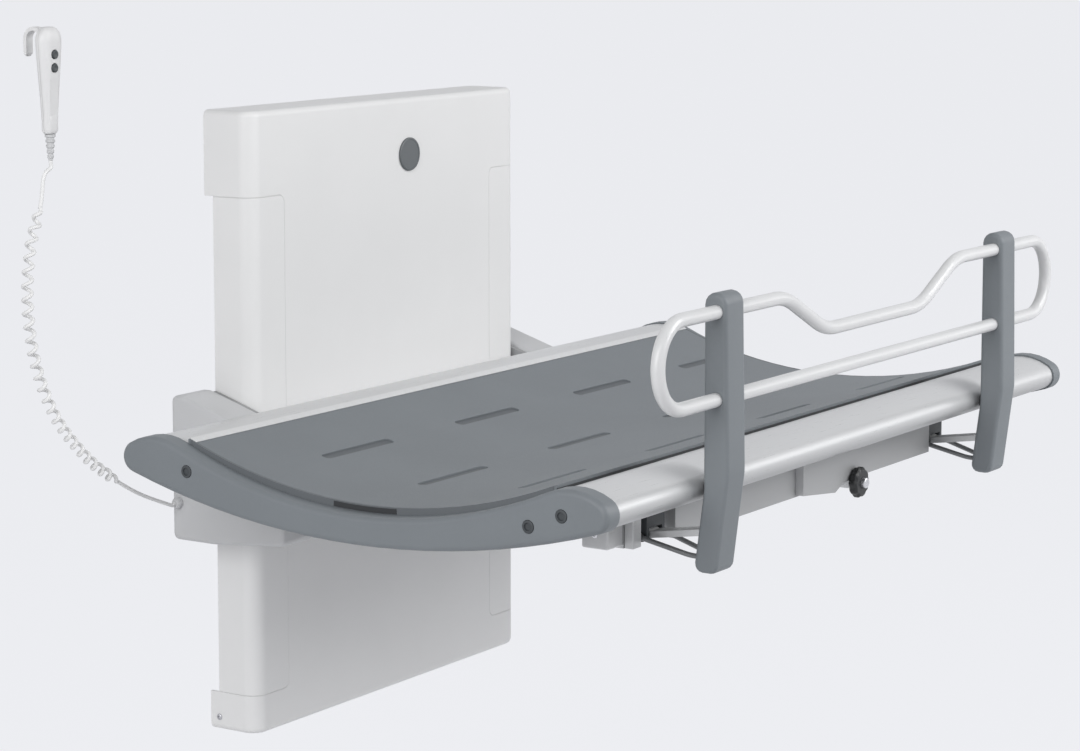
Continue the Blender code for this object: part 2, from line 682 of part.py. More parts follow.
def make_tray(looks, body):
    end = RAIL_END - EDGING_WIDTH - SEAT_GAP
    outline = tray_outline(TRAY_HALF, 0.0, TRAY_THICKNESS, 24)
    tray = loft("tray", [bench_ring(x, outline) for x in (-end, end)], looks["slate"], body)
    stadium = rectangle(-SLOT_LENGTH / 2, SLOT_LENGTH / 2, -SLOT_WIDTH / 2, SLOT_WIDTH / 2, SLOT_WIDTH / 2 * 0.99)
    for row, y in enumerate(SLOT_ROWS):
        tilt = math.asin(y / TRAY_RADIUS)
        for column in range(SLOT_COLUMNS):
            x = SLOT_FIRST_X + SLOT_PITCH_X * column
            tool = prism("slot_%d_%d" % (row, column), "Z", stadium, -SLOT_DEPTH, OVERCUT)
            tool.data.transform(Matrix.Rotation(tilt, 4, "X"))
            tool.data.transform(Matrix.Translation((x, BENCH_MID_Y + y, tray_height(y))))
            cut(tray, tool)
    for side, word in ((-1, "left"), (1, "right")):
        make_edging(side, word, looks, body)
    edge = TRAY_HALF + SEAT_GAP
    outer = edge + SEAL_WIDTH
    strip = [(edge, tray_height(edge, TRAY_THICKNESS)), (outer, tray_height(outer, TRAY_THICKNESS)),
             (outer, tray_height(outer, SEAL_DROP)), (edge, tray_height(edge, SEAL_DROP))]
    for side, word in ((1, "wall"), (-1, "front")):
        loft(word + "_tray_seal", [bench_ring(x, strip, side) for x in (-RAIL_END, RAIL_END)], looks["dark"], body)


def make_edging(side, word, looks, body):
    """Strip along the tray's end, with the drain slit at its lowest place."""
    outline = tray_outline(TRAY_HALF, 0.0, EDGING_DEPTH, 20)
    start = RAIL_END - EDGING_WIDTH
    ends = (side * start, side * RAIL_END)
    edging = loft(word + "_tray_edging", [bench_ring(x, outline) for x in ends], looks["edging"], body)
    high = TRAY_LOW - DRAIN_DROP
    slit = rectangle(BENCH_MID_Y - DRAIN_LENGTH / 2, BENCH_MID_Y + DRAIN_LENGTH / 2, high - DRAIN_HEIGHT, high,
                     DRAIN_HEIGHT * 0.49)
    cut(edging, prism(word + "_drain", "X", slit, side * (RAIL_END + OVERCUT), side * (start - OVERCUT)))


def make_ribs(looks, body):
    top = TRAY_THICKNESS + SEAT_GAP
    outline = tray_outline(RAIL_INNER - SEAT_GAP, top, top + RIB_DEPTH, 20)
    for word, x in (("left", -RIB_PITCH), ("middle", 0.0), ("right", RIB_PITCH)):
        ends = (x - RIB_WIDTH / 2, x + RIB_WIDTH / 2)
        loft(word + "_rib", [bench_ring(place, outline) for place in ends], looks["bright"], body)


def make_rails(looks, body):
    inner = RAIL_INNER + RAIL_WALL
    outer = inner + CHAMBER_WIDTH
    roof = TROUGH_CENTRE.y - math.sqrt((TROUGH_RADIUS + CAP_PROUD) ** 2 - RAIL_INNER ** 2) - RAIL_WALL
    belly = BELLY_RADIUS - CAP_PROUD - RAIL_WALL
    floor = [(y, BELLY_CENTRE.y - math.sqrt(belly ** 2 - y ** 2)) for y in (outer, inner)]
    chamber = [(inner, roof), (outer, roof)] + floor
    for side, word in ((1, "wall"), (-1, "front")):
        rail = rail_shape(word + "_rail", CAP_PROUD, -RAIL_END, RAIL_END, side, looks["silver"], body)
        ends = (-RAIL_END - OVERCUT, RAIL_END + OVERCUT)
        cut(rail, loft(word + "_rail_chamber", [bench_ring(x, chamber, side) for x in ends]))
        if side < 0:
            continue
        for arm_side, arm_word in ((-1, "left"), (1, "right")):
            x = arm_side * ARM_MID
            notch = LUG_RADIUS + LUG_SIDE_GAP
            far = NOSE_RADIUS + OVERCUT
            outline = [(HINGE_Y - notch, NOSE_Z - far), (HINGE_Y + far, NOSE_Z - far), (HINGE_Y + far, NOSE_Z + notch)]
            outline += arc((HINGE_Y, NOSE_Z), notch, math.pi / 2, math.pi, 6)
            half = LUG_WIDTH / 2 + LUG_SIDE_GAP
            cut(rail, prism(arm_word + "_rail_notch", "X", outline, x - half, x + half))
            cut(rail, hinge_bore(arm_word + "_rail_bore", PIN_RADIUS + PIN_GAP, half + PIN_BITE + SEAT_GAP, x))


def guard_bracket(post_x, word, looks, body):
    """Clevis under the front rail that holds the guard's pivot."""
    high = UNDER_TOP
    half = BRACKET_DEPTH / 2
    outline = [(PIVOT_Y - half, high)] + arc((PIVOT_Y, PIVOT_Z), half, math.pi, 2 * math.pi, 10)
    outline += [(PIVOT_Y + half, high)]
    left, right = post_x - BRACKET_WIDTH / 2, post_x + BRACKET_WIDTH / 2
    bracket = prism(word + "_guard_bracket", "X", outline, left, right, looks["dark"], body)
    cut(bracket, rail_shape(word + "_bracket_seat", CAP_PROUD - SEAT_GAP, left - OVERCUT, right + OVERCUT, -1))
    bridge = PIVOT_Z + STRAP_EYE + BRACKET_BRIDGE / 2
    cut(bracket, box(word + "_bracket_gap", (left + EAR_THICKNESS, PIVOT_Y - half - OVERCUT, PIVOT_Z - half),
                     (right - EAR_THICKNESS, PIVOT_Y + half + OVERCUT, bridge)))
    bore = [(left - OVERCUT, BAIL_RADIUS + PIN_GAP), (right + OVERCUT, BAIL_RADIUS + PIN_GAP)]
    cut(bracket, turned(word + "_bracket_bore", "X", (PIVOT_Y, PIVOT_Z), bore, 16))


def make_front_beam(looks, body):
    """Beam under the front rail that holds the pull knob; it leaves room for the guard's links to swing."""
    back = UNDER_FACE + UNDER_DEPTH
    left_post, right_post = GUARD_X - POST_SPACING / 2, GUARD_X + POST_SPACING / 2
    left, right = left_post + UNDER_NOTCH, right_post - UNDER_NOTCH
    beam = prism("front_beam", "Y", rectangle(left, right, UNDER_LOW, UNDER_TOP), UNDER_FACE, back,
                 looks["silver"], body)
    end = left_post - UNDER_NOTCH
    outline = [(end - UNDER_END, UNDER_LOW), (end, UNDER_LOW), (end, UNDER_BRIDGE), (left + OVERCUT, UNDER_BRIDGE),
               (left + OVERCUT, UNDER_TOP - SEAM_GAP), (end - UNDER_END, UNDER_TOP - SEAM_GAP)]
    work(beam, "UNION", prism("beam_end", "Y", outline, UNDER_FACE + UNDER_STEP, back - SEAM_GAP))
    keel, chamfer = KNOB_X - LATCH_KEEL, KNOB_X - LATCH_CHAMFER
    boss = arc((KNOB_X, KNOB_Z), BOSS_RADIUS, math.pi * 1.05, math.pi * 1.95, 10)
    outline = [(KNOB_X - LATCH_LEFT, UNDER_TOP), (KNOB_X - LATCH_LEFT, LATCH_SIDE_LOW), (keel, LATCH_LOW),
               (chamfer, LATCH_SIDE_LOW), (boss[0][0], LATCH_SIDE_LOW)] + boss
    outline += [(KNOB_X + LATCH_RIGHT, LATCH_SIDE_LOW), (KNOB_X + LATCH_RIGHT, UNDER_TOP)]
    work(beam, "UNION", prism("latch", "Y", outline, LATCH_FACE, LATCH_FACE + LATCH_DEPTH))
    cut(beam, rail_shape("beam_seat", CAP_PROUD - SEAT_GAP, end - UNDER_END - OVERCUT, right + OVERCUT, -1))
    bore = [(LATCH_FACE - OVERCUT, KNOB_SHAFT_RADIUS + PIN_GAP), (back + OVERCUT, KNOB_SHAFT_RADIUS + PIN_GAP)]
    cut(beam, turned("latch_bore", "Y", (KNOB_X, KNOB_Z), bore, 16))


def fluted(along, radius, depth):
    """Ring of a knob with shallow finger flutes."""
    sides = KNOB_FLUTES * 6
    ring = []
    for k in range(sides):
        a = 2 * math.pi * k / sides
        r = radius - depth * (0.5 - 0.5 * math.cos(KNOB_FLUTES * a))
        ring.append((KNOB_X + r * math.cos(a), along, KNOB_Z + r * math.sin(a)))
    return ring


def make_knob(looks, body):
    back = LATCH_FACE - SEAT_GAP
    front = back - KNOB_THICKNESS
    edge = KNOB_THICKNESS * 0.25
    rings = [fluted(back, KNOB_RADIUS - edge, FLUTE_DEPTH), fluted(back - edge, KNOB_RADIUS, FLUTE_DEPTH),
             fluted(front + edge, KNOB_RADIUS, FLUTE_DEPTH), fluted(front, KNOB_RADIUS - edge, FLUTE_DEPTH)]
    knob = loft("release_knob", rings, looks["black"], body)
    seat = [(front - OVERCUT, KNOB_CAP_RADIUS + SEAT_GAP), (front + edge, KNOB_CAP_RADIUS + SEAT_GAP)]
    cut(knob, turned("knob_cap_seat", "Y", (KNOB_X, KNOB_Z), seat, 20))
    cap_back = front + edge - SEAT_GAP
    tip = front - KNOB_CAP_PROUD
    cap = [(cap_back, KNOB_CAP_RADIUS), (tip + KNOB_CAP_PROUD * 0.3, KNOB_CAP_RADIUS), (tip, KNOB_CAP_RADIUS * 0.7)]
    turned("knob_cap", "Y", (KNOB_X, KNOB_Z), cap, 20, looks["bright"], body)
    shaft = [(back - edge, KNOB_SHAFT_RADIUS), (LATCH_FACE + LATCH_DEPTH, KNOB_SHAFT_RADIUS)]
    turned("knob_shaft", "Y", (KNOB_X, KNOB_Z), shaft, 16, looks["bright"], body)
    socket = [(back - edge - SEAT_GAP, KNOB_SHAFT_RADIUS + SEAT_GAP), (back + OVERCUT, KNOB_SHAFT_RADIUS + SEAT_GAP)]
    cut(knob, turned("knob_shaft_seat", "Y", (KNOB_X, KNOB_Z), socket, 16))


def post_back(z):
    """Place of a guard post's back, which bends in below the bench's edge."""
    return POST_BACK + POST_KICK * max(0.0, (POST_KNEE - z) / (POST_KNEE - POST_BOTTOM))


def post_outline():
    """Side view of a guard post: round head, slim top, full middle and a foot that bends inwards."""
    head = POST_TOP_DEPTH / 2 * 0.96
    foot = post_back(POST_BOTTOM)
    return filleted([(POST_BACK, POST_TOP, head), (POST_BACK - POST_TOP_DEPTH, POST_TOP, head),
                     (POST_BACK - POST_DEPTH, POST_BELLY, POST_BEND), (foot - POST_FOOT_DEPTH, POST_BOTTOM, 0.012),
                     (foot, POST_BOTTOM, 0.012), (POST_BACK, POST_KNEE, POST_BEND)], 4)


def guard_loop():
    """Path of the guard tube: one closed loop with a dip in its upper run."""
    half = TUBE_LENGTH / 2
    bend = (TUBE_UPPER - TUBE_LOWER) / 2 * 0.999
    corners = [(-half, TUBE_LOWER, bend), (half, TUBE_LOWER, bend), (half, TUBE_UPPER, bend),
               (DIP_TOP_WIDTH / 2, TUBE_UPPER, DIP_BEND), (DIP_BOTTOM_WIDTH / 2, TUBE_DIP, DIP_BEND),
               (-DIP_BOTTOM_WIDTH / 2, TUBE_DIP, DIP_BEND), (-DIP_TOP_WIDTH / 2, TUBE_UPPER, DIP_BEND),
               (-half, TUBE_UPPER, bend)]
    return [(GUARD_X + x, GUARD_Y, z) for x, z in filleted(corners, 7)]


def make_post(post_x, word, looks, body):
    left, right = post_x - POST_WIDTH / 2, post_x + POST_WIDTH / 2
    post = prism(word + "_post", "X", post_outline(), left, right, looks["slate"], body)
    soften(post, POST_ROUND, 3)
    ends = [(left - OVERCUT, TUBE_RADIUS + SEAT_GAP), (right + OVERCUT, TUBE_RADIUS + SEAT_GAP)]
    for level, z in (("upper", TUBE_UPPER), ("lower", TUBE_LOWER)):
        cut(post, turned("%s_post_%s_hole" % (word, level), "X", (GUARD_Y, z), ends, 16))
    entry = post_back(BAIL_POST_Z)
    hole = [(entry - BAIL_BITE - SEAT_GAP, BAIL_RADIUS + SEAT_GAP), (entry + OVERCUT, BAIL_RADIUS + SEAT_GAP)]
    for side in (-1, 1):
        place = (post_x + side * BAIL_POST_WIDTH / 2, BAIL_POST_Z)
        cut(post, turned("%s_post_bail_hole_%d" % (word, side), "Y", place, hole, 12))
    buffer_back = BENCH_FRONT + CAP_PROUD - SEAT_GAP
    pad = rectangle(post_x - BUFFER_WIDTH / 2, post_x + BUFFER_WIDTH / 2, NOSE_Z - BUFFER_HEIGHT / 2,
                    NOSE_Z + BUFFER_HEIGHT / 2, 0.004)
    buffer = prism(word + "_post_buffer", "Y", pad, POST_BACK - OVERCUT / 2, buffer_back, looks["dark"], body)
    keep_off = prism(word + "_buffer_seat", "X", post_outline(), left - OVERCUT, right + OVERCUT)
    keep_off.data.transform(Matrix.Translation((0.0, SEAT_GAP, 0.0)))
    cut(buffer, keep_off)


def make_bail(post_x, word, looks, body):
    """Bent wire from the post round the pivot and back to the post, and the flat strap above it."""
    entry = post_back(BAIL_POST_Z)
    knee = entry + BAIL_LEVEL
    half, near = BAIL_WIDTH / 2, BAIL_POST_WIDTH / 2
    fall = (BAIL_POST_Z - PIVOT_Z) / (knee - PIVOT_Y)
    bend = arc((half - BAIL_BEND, PIVOT_Y - BAIL_BEND), BAIL_BEND, 0.0, math.pi / 2, 5)
    leg = [(near, entry - BAIL_BITE, BAIL_POST_Z), (near, knee, BAIL_POST_Z)]
    leg += [(x, y, PIVOT_Z + fall * (y - PIVOT_Y)) for x, y in bend]
    path = [(post_x - x, y, z) for x, y, z in leg] + [(post_x + x, y, z) for x, y, z in reversed(leg)]
    tube(word + "_bail", path, BAIL_RADIUS, 2, False, looks["dark"], body)
    post_face = post_back(STRAP_POST_Z) + SEAT_GAP * 2
    run = Vector((post_face - PIVOT_Y, STRAP_POST_Z - PIVOT_Z)).normalized()
    side = Vector((-run.y, run.x)) * (STRAP_THICKNESS / 2)
    end = Vector((post_face, STRAP_POST_Z))
    start = angle_of(run)
    spread = math.asin(STRAP_THICKNESS / 2 / STRAP_EYE)
    outline = arc((PIVOT_Y, PIVOT_Z), STRAP_EYE, start + spread, start + 2 * math.pi - spread, 14)
    outline += [tuple(end - side - run * 0.001), tuple(end + side - run * 0.001)]
    left, right = post_x - STRAP_WIDTH / 2, post_x + STRAP_WIDTH / 2
    strap = prism(word + "_strap", "X", outline, left, right, looks["silver"], body)
    bore = [(left - OVERCUT, BAIL_RADIUS + SEAT_GAP), (right + OVERCUT, BAIL_RADIUS + SEAT_GAP)]
    cut(strap, turned(word + "_strap_bore", "X", (PIVOT_Y, PIVOT_Z), bore, 16))


def make_guard(looks, body, bench):
    for side, word in ((-1, "left"), (1, "right")):
        post_x = GUARD_X + side * POST_SPACING / 2
        make_post(post_x, word, looks, body)
        make_bail(post_x, word, looks, body)
        guard_bracket(post_x, word, looks, bench)
    tube("guard_tube", guard_loop(), TUBE_RADIUS, 3, True, looks["white"], body)


def handset_ring(z):
    """Cross-section of the handset, a soft oval that tapers towards the cord."""
    share = (HANDSET_TOP - z) / HANDSET_LENGTH
    ease = share * share * (3 - 2 * share)
    width = HANDSET_TOP_WIDTH + (HANDSET_FOOT_WIDTH - HANDSET_TOP_WIDTH) * ease
    depth = HANDSET_TOP_DEPTH + (HANDSET_FOOT_DEPTH - HANDSET_TOP_DEPTH) * ease
    return width, depth


def handset_body(name, look=None, body=None):
    cap = HANDSET_TOP_WIDTH / 2
    foot = HANDSET_FOOT_WIDTH / 4
    stations = [(HANDSET_TOP - cap * (1 - math.cos(t)), math.sin(t) ** 0.7) for t in
                [math.pi / 2 * k / 6 for k in range(1, 7)]]
    straight = [HANDSET_TOP - cap - (HANDSET_LENGTH - cap - foot) * k / 6 for k in range(1, 7)]
    stations += [(z, 1.0) for z in straight] + [(HANDSET_FOOT, 0.72)]
    rings = []
    for z, scale in stations:
        width, depth = handset_ring(z)
        rings.append([(HANDSET_X + width / 2 * scale * math.copysign(abs(math.cos(a)) ** 0.7, math.cos(a)),
                       HANDSET_Y + depth / 2 * scale * math.copysign(abs(math.sin(a)) ** 0.7, math.sin(a)), z)
                      for a in [2 * math.pi * (k + 0.5) / 24 for k in range(24)]])
    return loft(name, rings, look, body, math.radians(50))


def split_block(name, front, back):
    wide = HANDSET_TOP_WIDTH
    return box(name, (HANDSET_X - wide, front, HANDSET_FOOT - OVERCUT), (HANDSET_X + wide, back, HANDSET_TOP + OVERCUT))


def make_handset(looks, body):
    far = HANDSET_TOP_DEPTH * 2
    front = handset_body("handset_front", looks["white"], body)
    cut(front, split_block("handset_front_split", HANDSET_Y, HANDSET_Y + far))
    for name, z in (("up", UP_BUTTON_Z), ("down", DOWN_BUTTON_Z)):
        _, depth = handset_ring(z)
        face = HANDSET_Y - depth / 2
        floor = face - BUTTON_PROUD + BUTTON_LENGTH + BUTTON_REST_GAP
        hole = [(face - OVERCUT, BUTTON_RADIUS + PIN_GAP), (floor, BUTTON_RADIUS + PIN_GAP)]
        cut(front, turned(name + "_button_hole", "Y", (HANDSET_X, z), hole, 20))
    back = handset_body("handset_back", looks["white"], body)
    cut(back, split_block("handset_back_split", HANDSET_Y + SEAT_GAP - far, HANDSET_Y + SEAT_GAP))
    bend = HOOK_REACH / 2
    root_y = HANDSET_Y + HANDSET_TOP_DEPTH / 4
    crown = HANDSET_TOP - SEAM_GAP
    outer = arc((root_y + bend, crown - bend), bend, math.pi, 0.0, 10)
    inner = arc((root_y + bend, crown - bend), bend - HOOK_THICKNESS, 0.0, math.pi, 10)
    foot = crown - bend - HOOK_DROP
    outline = [(root_y, foot)] + outer + [(root_y + HOOK_REACH, foot), (root_y + HOOK_REACH - HOOK_THICKNESS, foot)]
    outline += inner + [(root_y + HOOK_THICKNESS, foot)]
    hook = prism("handset_hook", "X", outline, HANDSET_X - HOOK_WIDTH / 2, HANDSET_X + HOOK_WIDTH / 2)
    work(back, "UNION", hook)


def make_button(name, z, looks, body):
    _, depth = handset_ring(z)
    tip = HANDSET_Y - depth / 2 - BUTTON_PROUD
    profile = [(tip, BUTTON_RADIUS * 0.75), (tip + BUTTON_PROUD * 0.5, BUTTON_RADIUS), (tip + BUTTON_LENGTH, BUTTON_RADIUS)]
    turned(name, "Y", (HANDSET_X, z), profile, 20, looks["dark"], body)


def make_relief(looks, body):
    """Ribbed sleeve where the cord leaves the handset."""
    top = HANDSET_FOOT - SEAT_GAP
    profile = []
    pitch = RELIEF_LENGTH / RELIEF_RIBS
    for rib in range(RELIEF_RIBS):
        share = rib / (RELIEF_RIBS - 1)
        radius = RELIEF_TOP_RADIUS + (RELIEF_FOOT_RADIUS - RELIEF_TOP_RADIUS) * share
        start = top - rib * pitch
        profile += [(start, radius), (start - pitch * 0.6, radius), (start - pitch * 0.6, radius * 0.8),
                    (start - pitch, radius * 0.8)]
    turned("cord_strain_relief", "Z", (HANDSET_X, HANDSET_Y), profile, 12, looks["white"], body)


def smooth_path(points, steps):
    """Points of a smooth curve through the given ones."""
    ends = [points[0] * 2 - points[1]] + points + [points[-1] * 2 - points[-2]]
    path = []
    for a, b, c, d in zip(ends, ends[1:], ends[2:], ends[3:]):
        for k in range(steps):
            t = k / steps
            path.append(0.5 * (2 * b + (c - a) * t + (2 * a - 5 * b + 4 * c - d) * t ** 2
                               + (3 * b - a - 3 * c + d) * t ** 3))
    return path + [points[-1]]


def walk(path, count):
    """Evenly spaced points along a path, and its length."""
    lengths = [0.0]
    for a, b in zip(path, path[1:]):
        lengths.append(lengths[-1] + (b - a).length)
    spread, i = [], 0
    for k in range(count + 1):
        goal = lengths[-1] * k / count
        while i < len(path) - 2 and lengths[i + 1] < goal:
            i += 1
        share = (goal - lengths[i]) / (lengths[i + 1] - lengths[i])
        spread.append(path[i].lerp(path[i + 1], share))
    return spread, lengths[-1]


def cord_points():
    """Centre line of the cord: straight out of both ends, with its curls between."""
    top = Vector((HANDSET_X, HANDSET_Y, HANDSET_FOOT - SEAT_GAP - RELIEF_LENGTH - SEAT_GAP))
    foot = Vector((-ARM_OUTER - 2 * SEAT_GAP - GLAND_LENGTH, -GLAND_WALL_DISTANCE, GLAND_Z))
    lead = 2 * CORD_RADIUS
    top_lead = top - Vector((0, 0, lead))
    foot_lead = foot - Vector((lead, 0, 0))
    bow = [top_lead, top_lead - Vector((0, 0, lead))] + [Vector(p) for p in CORD_BOW]
    bow += [foot_lead - Vector((lead, 0, 0)), foot_lead]
    curled = CURLS * POINTS_PER_CURL
    count = round(curled / (CURL_END - CURL_START))
    axis, _ = walk(smooth_path(bow, 12), count)
    begin = round(count * CURL_START)
    points = []
    side = Vector((0, 1, 0))
    for k, place in enumerate(axis):
        along = (axis[min(k + 1, count)] - axis[max(k - 1, 0)]).normalized()
        side = (side - along * side.dot(along)).normalized()
        turn = 2 * math.pi * (k - begin) / POINTS_PER_CURL
        grow = min(max((k - begin) / POINTS_PER_CURL, 0.0), max((begin + curled - k) / POINTS_PER_CURL, 0.0), 1.0)
        points.append(place + CURL_RADIUS * grow * (side * math.cos(turn) + along.cross(side) * math.sin(turn)))
    return [top] + points + [foot]


def least_gap(points, near):
    """Smallest clear distance between two stretches of the cord that aren't next to each other."""
    gaps = [(points[i] - points[j]).length for i in range(len(points)) for j in range(i + near, len(points))]
    return min(gaps) - 2 * CORD_RADIUS


def make_cord(looks, body):
    points = cord_points()
    thin = [p for k, p in enumerate(points) if k < 2 or k > len(points) - 3 or curl_or_spread(points, k)]
    tube("curly_cord", thin, CORD_RADIUS, 1, False, looks["white"], body)
    length = sum((b - a).length for a, b in zip(thin, thin[1:]))
    print("curly cord length %.3f m, least gap to itself %.4f m" % (length, least_gap(thin, 6)))


def curl_or_spread(points, k):
    """Keep every point of the curls, and every third point where the cord runs straight."""
    before, here, after = points[k - 1], points[k], points[k + 1]
    bent = (here - before).angle(after - here) > math.radians(6)
    return bent or k % 3 == 0


def looks_of_the_bench():
    return {
        "white": finish("white moulding", (0.80, 0.80, 0.80), 0.45, 0.0),
        "slate": finish("slate moulding", (0.20, 0.22, 0.25), 0.55, 0.0),
        "silver": finish("silver rail", (0.62, 0.63, 0.64), 0.35, 0.9),
        "grey": finish("light grey enamel", (0.55, 0.56, 0.58), 0.45, 0.0),
        "steel": finish("plated steel", (0.50, 0.50, 0.52), 0.40, 0.9),
        "bright": finish("bright steel", (0.70, 0.70, 0.72), 0.25, 1.0),
        "edging": finish("dark slate edging", (0.13, 0.14, 0.155), 0.60, 0.0),
        "dark": finish("dark grey rubber", (0.04, 0.042, 0.046), 0.60, 0.0),
        "black": finish("black grip", (0.012, 0.012, 0.013), 0.45, 0.0),
    }


def moving_body(name, place, carrier=None):
    empty = joint_axis(name, place, carrier)
    empty["place"] = place
    return empty


def main():
    clear_scene()
    looks = looks_of_the_bench()
    lift = moving_body("lift_unit", (0.0, 0.0, 0.0))
    carriage = moving_body("carriage_axis", (0.0, -DRIVE_DEPTH, 0.0), lift)
    bench = moving_body("fold_axis", (0.0, HINGE_Y, NOSE_Z), carriage)
    guard = moving_body("guard_axis", (GUARD_X, PIVOT_Y, PIVOT_Z), bench)
    knob = moving_body("knob_axis", (KNOB_X, LATCH_FACE, KNOB_Z), bench)
    make_lift(looks, lift)
    make_carriage(looks, carriage)
    make_rails(looks, bench)
    make_tray(looks, bench)
    make_ribs(looks, bench)
    for side, word in ((-1, "left"), (1, "right")):
        make_end_cap(side, word, looks, bench)
    make_front_beam(looks, bench)
    make_guard(looks, guard, bench)
    make_knob(looks, knob)
    make_handset(looks, carriage)
    make_relief(looks, carriage)
    make_cord(looks, carriage)
    for name, z in (("up_button", UP_BUTTON_Z), ("down_button", DOWN_BUTTON_Z)):
        press = moving_body(name + "_axis", (HANDSET_X, HANDSET_Y, z), carriage)
        make_button(name, z, looks, press)


main()
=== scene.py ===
"""Looks of the wall-hung changing bench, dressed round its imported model.

Metres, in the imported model's own frame: +Z up, +X along the wall to the right, +Y into the wall.
"""
import json
import math

import bpy
from mathutils import Matrix, Vector

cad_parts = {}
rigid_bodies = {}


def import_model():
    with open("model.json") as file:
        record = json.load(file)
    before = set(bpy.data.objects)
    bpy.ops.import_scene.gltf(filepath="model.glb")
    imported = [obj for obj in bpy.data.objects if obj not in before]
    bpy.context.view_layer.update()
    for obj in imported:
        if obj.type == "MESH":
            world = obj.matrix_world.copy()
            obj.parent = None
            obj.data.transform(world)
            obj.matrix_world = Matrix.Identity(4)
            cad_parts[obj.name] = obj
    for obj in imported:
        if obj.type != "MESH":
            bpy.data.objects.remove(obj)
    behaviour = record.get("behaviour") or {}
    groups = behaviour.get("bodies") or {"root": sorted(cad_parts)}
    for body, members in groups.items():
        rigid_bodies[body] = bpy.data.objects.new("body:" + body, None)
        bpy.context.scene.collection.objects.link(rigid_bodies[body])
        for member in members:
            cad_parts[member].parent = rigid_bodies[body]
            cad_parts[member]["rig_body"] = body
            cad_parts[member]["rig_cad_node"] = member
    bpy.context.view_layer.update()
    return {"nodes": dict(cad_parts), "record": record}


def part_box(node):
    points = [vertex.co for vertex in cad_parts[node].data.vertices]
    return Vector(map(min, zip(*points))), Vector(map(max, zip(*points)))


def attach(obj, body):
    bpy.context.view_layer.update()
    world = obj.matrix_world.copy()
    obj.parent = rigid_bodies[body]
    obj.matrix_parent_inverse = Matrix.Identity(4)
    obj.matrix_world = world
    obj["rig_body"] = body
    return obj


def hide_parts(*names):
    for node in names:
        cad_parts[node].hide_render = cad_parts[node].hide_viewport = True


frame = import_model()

NODES = frame["nodes"]
BODY_OF = {name: solid["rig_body"] for name, solid in NODES.items()}
SLOT_OF = {part["node"]: part["material_slot"] for part in frame["record"]["subparts"]}
SIDES = ((-1, "left"), (1, "right"))
ALONG = {"X": Vector((1, 0, 0)), "Y": Vector((0, 1, 0)), "Z": Vector((0, 0, 1))}
TURNS = {"X": (0.0, math.pi / 2, 0.0), "Y": (math.pi / 2, 0.0, 0.0), "Z": (0.0, 0.0, 0.0)}

# Small distances and angles that several pieces share
FIT_GAP = 0.0003
LIFT = 0.0001
NEAR = 0.0001
MERGE_TURNED = 0.000005
MERGE_BENT = 0.00001
MERGE_NODE = 0.00002
FLAT_DEGREES = 0.5
BAR_SMOOTH = 60.0
TOOL_REACH = 0.004

# Camera at the photograph's angle
CAMERA_PLACE = (-3.8244, -2.8862, 0.7645)
CAMERA_TURN = (math.radians(83.031), 0.0, math.radians(-56.63))
CAMERA_LENS = 100.87
CAMERA_SENSOR = 36.0
CAMERA_SHIFT = -0.10
CAMERA_FAR = 500.0

# Curly cord, on the route that the solid follows
CORD_TOP = Vector((-0.735, -0.047, 0.4064))
CORD_FOOT = Vector((-0.4486, -0.016, -0.125))
CORD_LEAD = 0.005
CORD_RADIUS = 0.0028
CURL_RADIUS = 0.006
CURLS = 26
CURL_POINTS = 16
CURL_START = 0.09
CURL_END = 0.80
BOW_STEPS = 12
CORD_BOW = (
    (-0.748, -0.046, 0.385),
    (-0.755, -0.045, 0.345),
    (-0.773, -0.042, 0.290),
    (-0.777, -0.038, 0.213),
    (-0.760, -0.034, 0.128),
    (-0.717, -0.029, 0.046),
    (-0.651, -0.024, -0.021),
    (-0.595, -0.021, -0.060),
    (-0.530, -0.018, -0.096),
)

# Gland and strain relief at the ends of the cord, as depth and share of the radius
GLAND_STEPS = ((0.0, 1.0), (0.004, 1.0), (0.0045, 0.94), (0.0050, 1.0), (0.0066, 1.0), (0.0085, 0.86))
GLAND_MOUTH = (0.66, 0.3)
RELIEF_RIBS = 5
RELIEF_TOP_RADIUS = 0.0075
RELIEF_FOOT_RADIUS = 0.0045
RELIEF_RIB = ((0.0, 0.86), (0.10, 1.0), (0.52, 0.98), (0.64, 0.84), (0.70, 0.72), (0.95, 0.72))
RELIEF_MOUTH = 0.9

# Guard tube and the bails under it
GUARD_X = -0.021
GUARD_Y = -0.9465
TUBE_RADIUS = 0.0095
TUBE_HALF = 0.5895
TUBE_UPPER = 0.233
TUBE_LOWER = 0.118
TUBE_END_BEND = (TUBE_UPPER - TUBE_LOWER) / 2 * 0.999
TUBE_DIP = 0.175
DIP_TOP_HALF = 0.2625
DIP_BOTTOM_HALF = 0.145
DIP_BEND = 0.120
POST_HALF = 0.420
PIVOT = (-0.834, -0.075)
BAIL_END = -0.9278
BAIL_KNEE = -0.9058
BAIL_POST_Z = -0.093
BAIL_RADIUS = 0.0035
BAIL_HALF = 0.029
BAIL_POST_HALF = 0.018
BAIL_BEND = 0.008

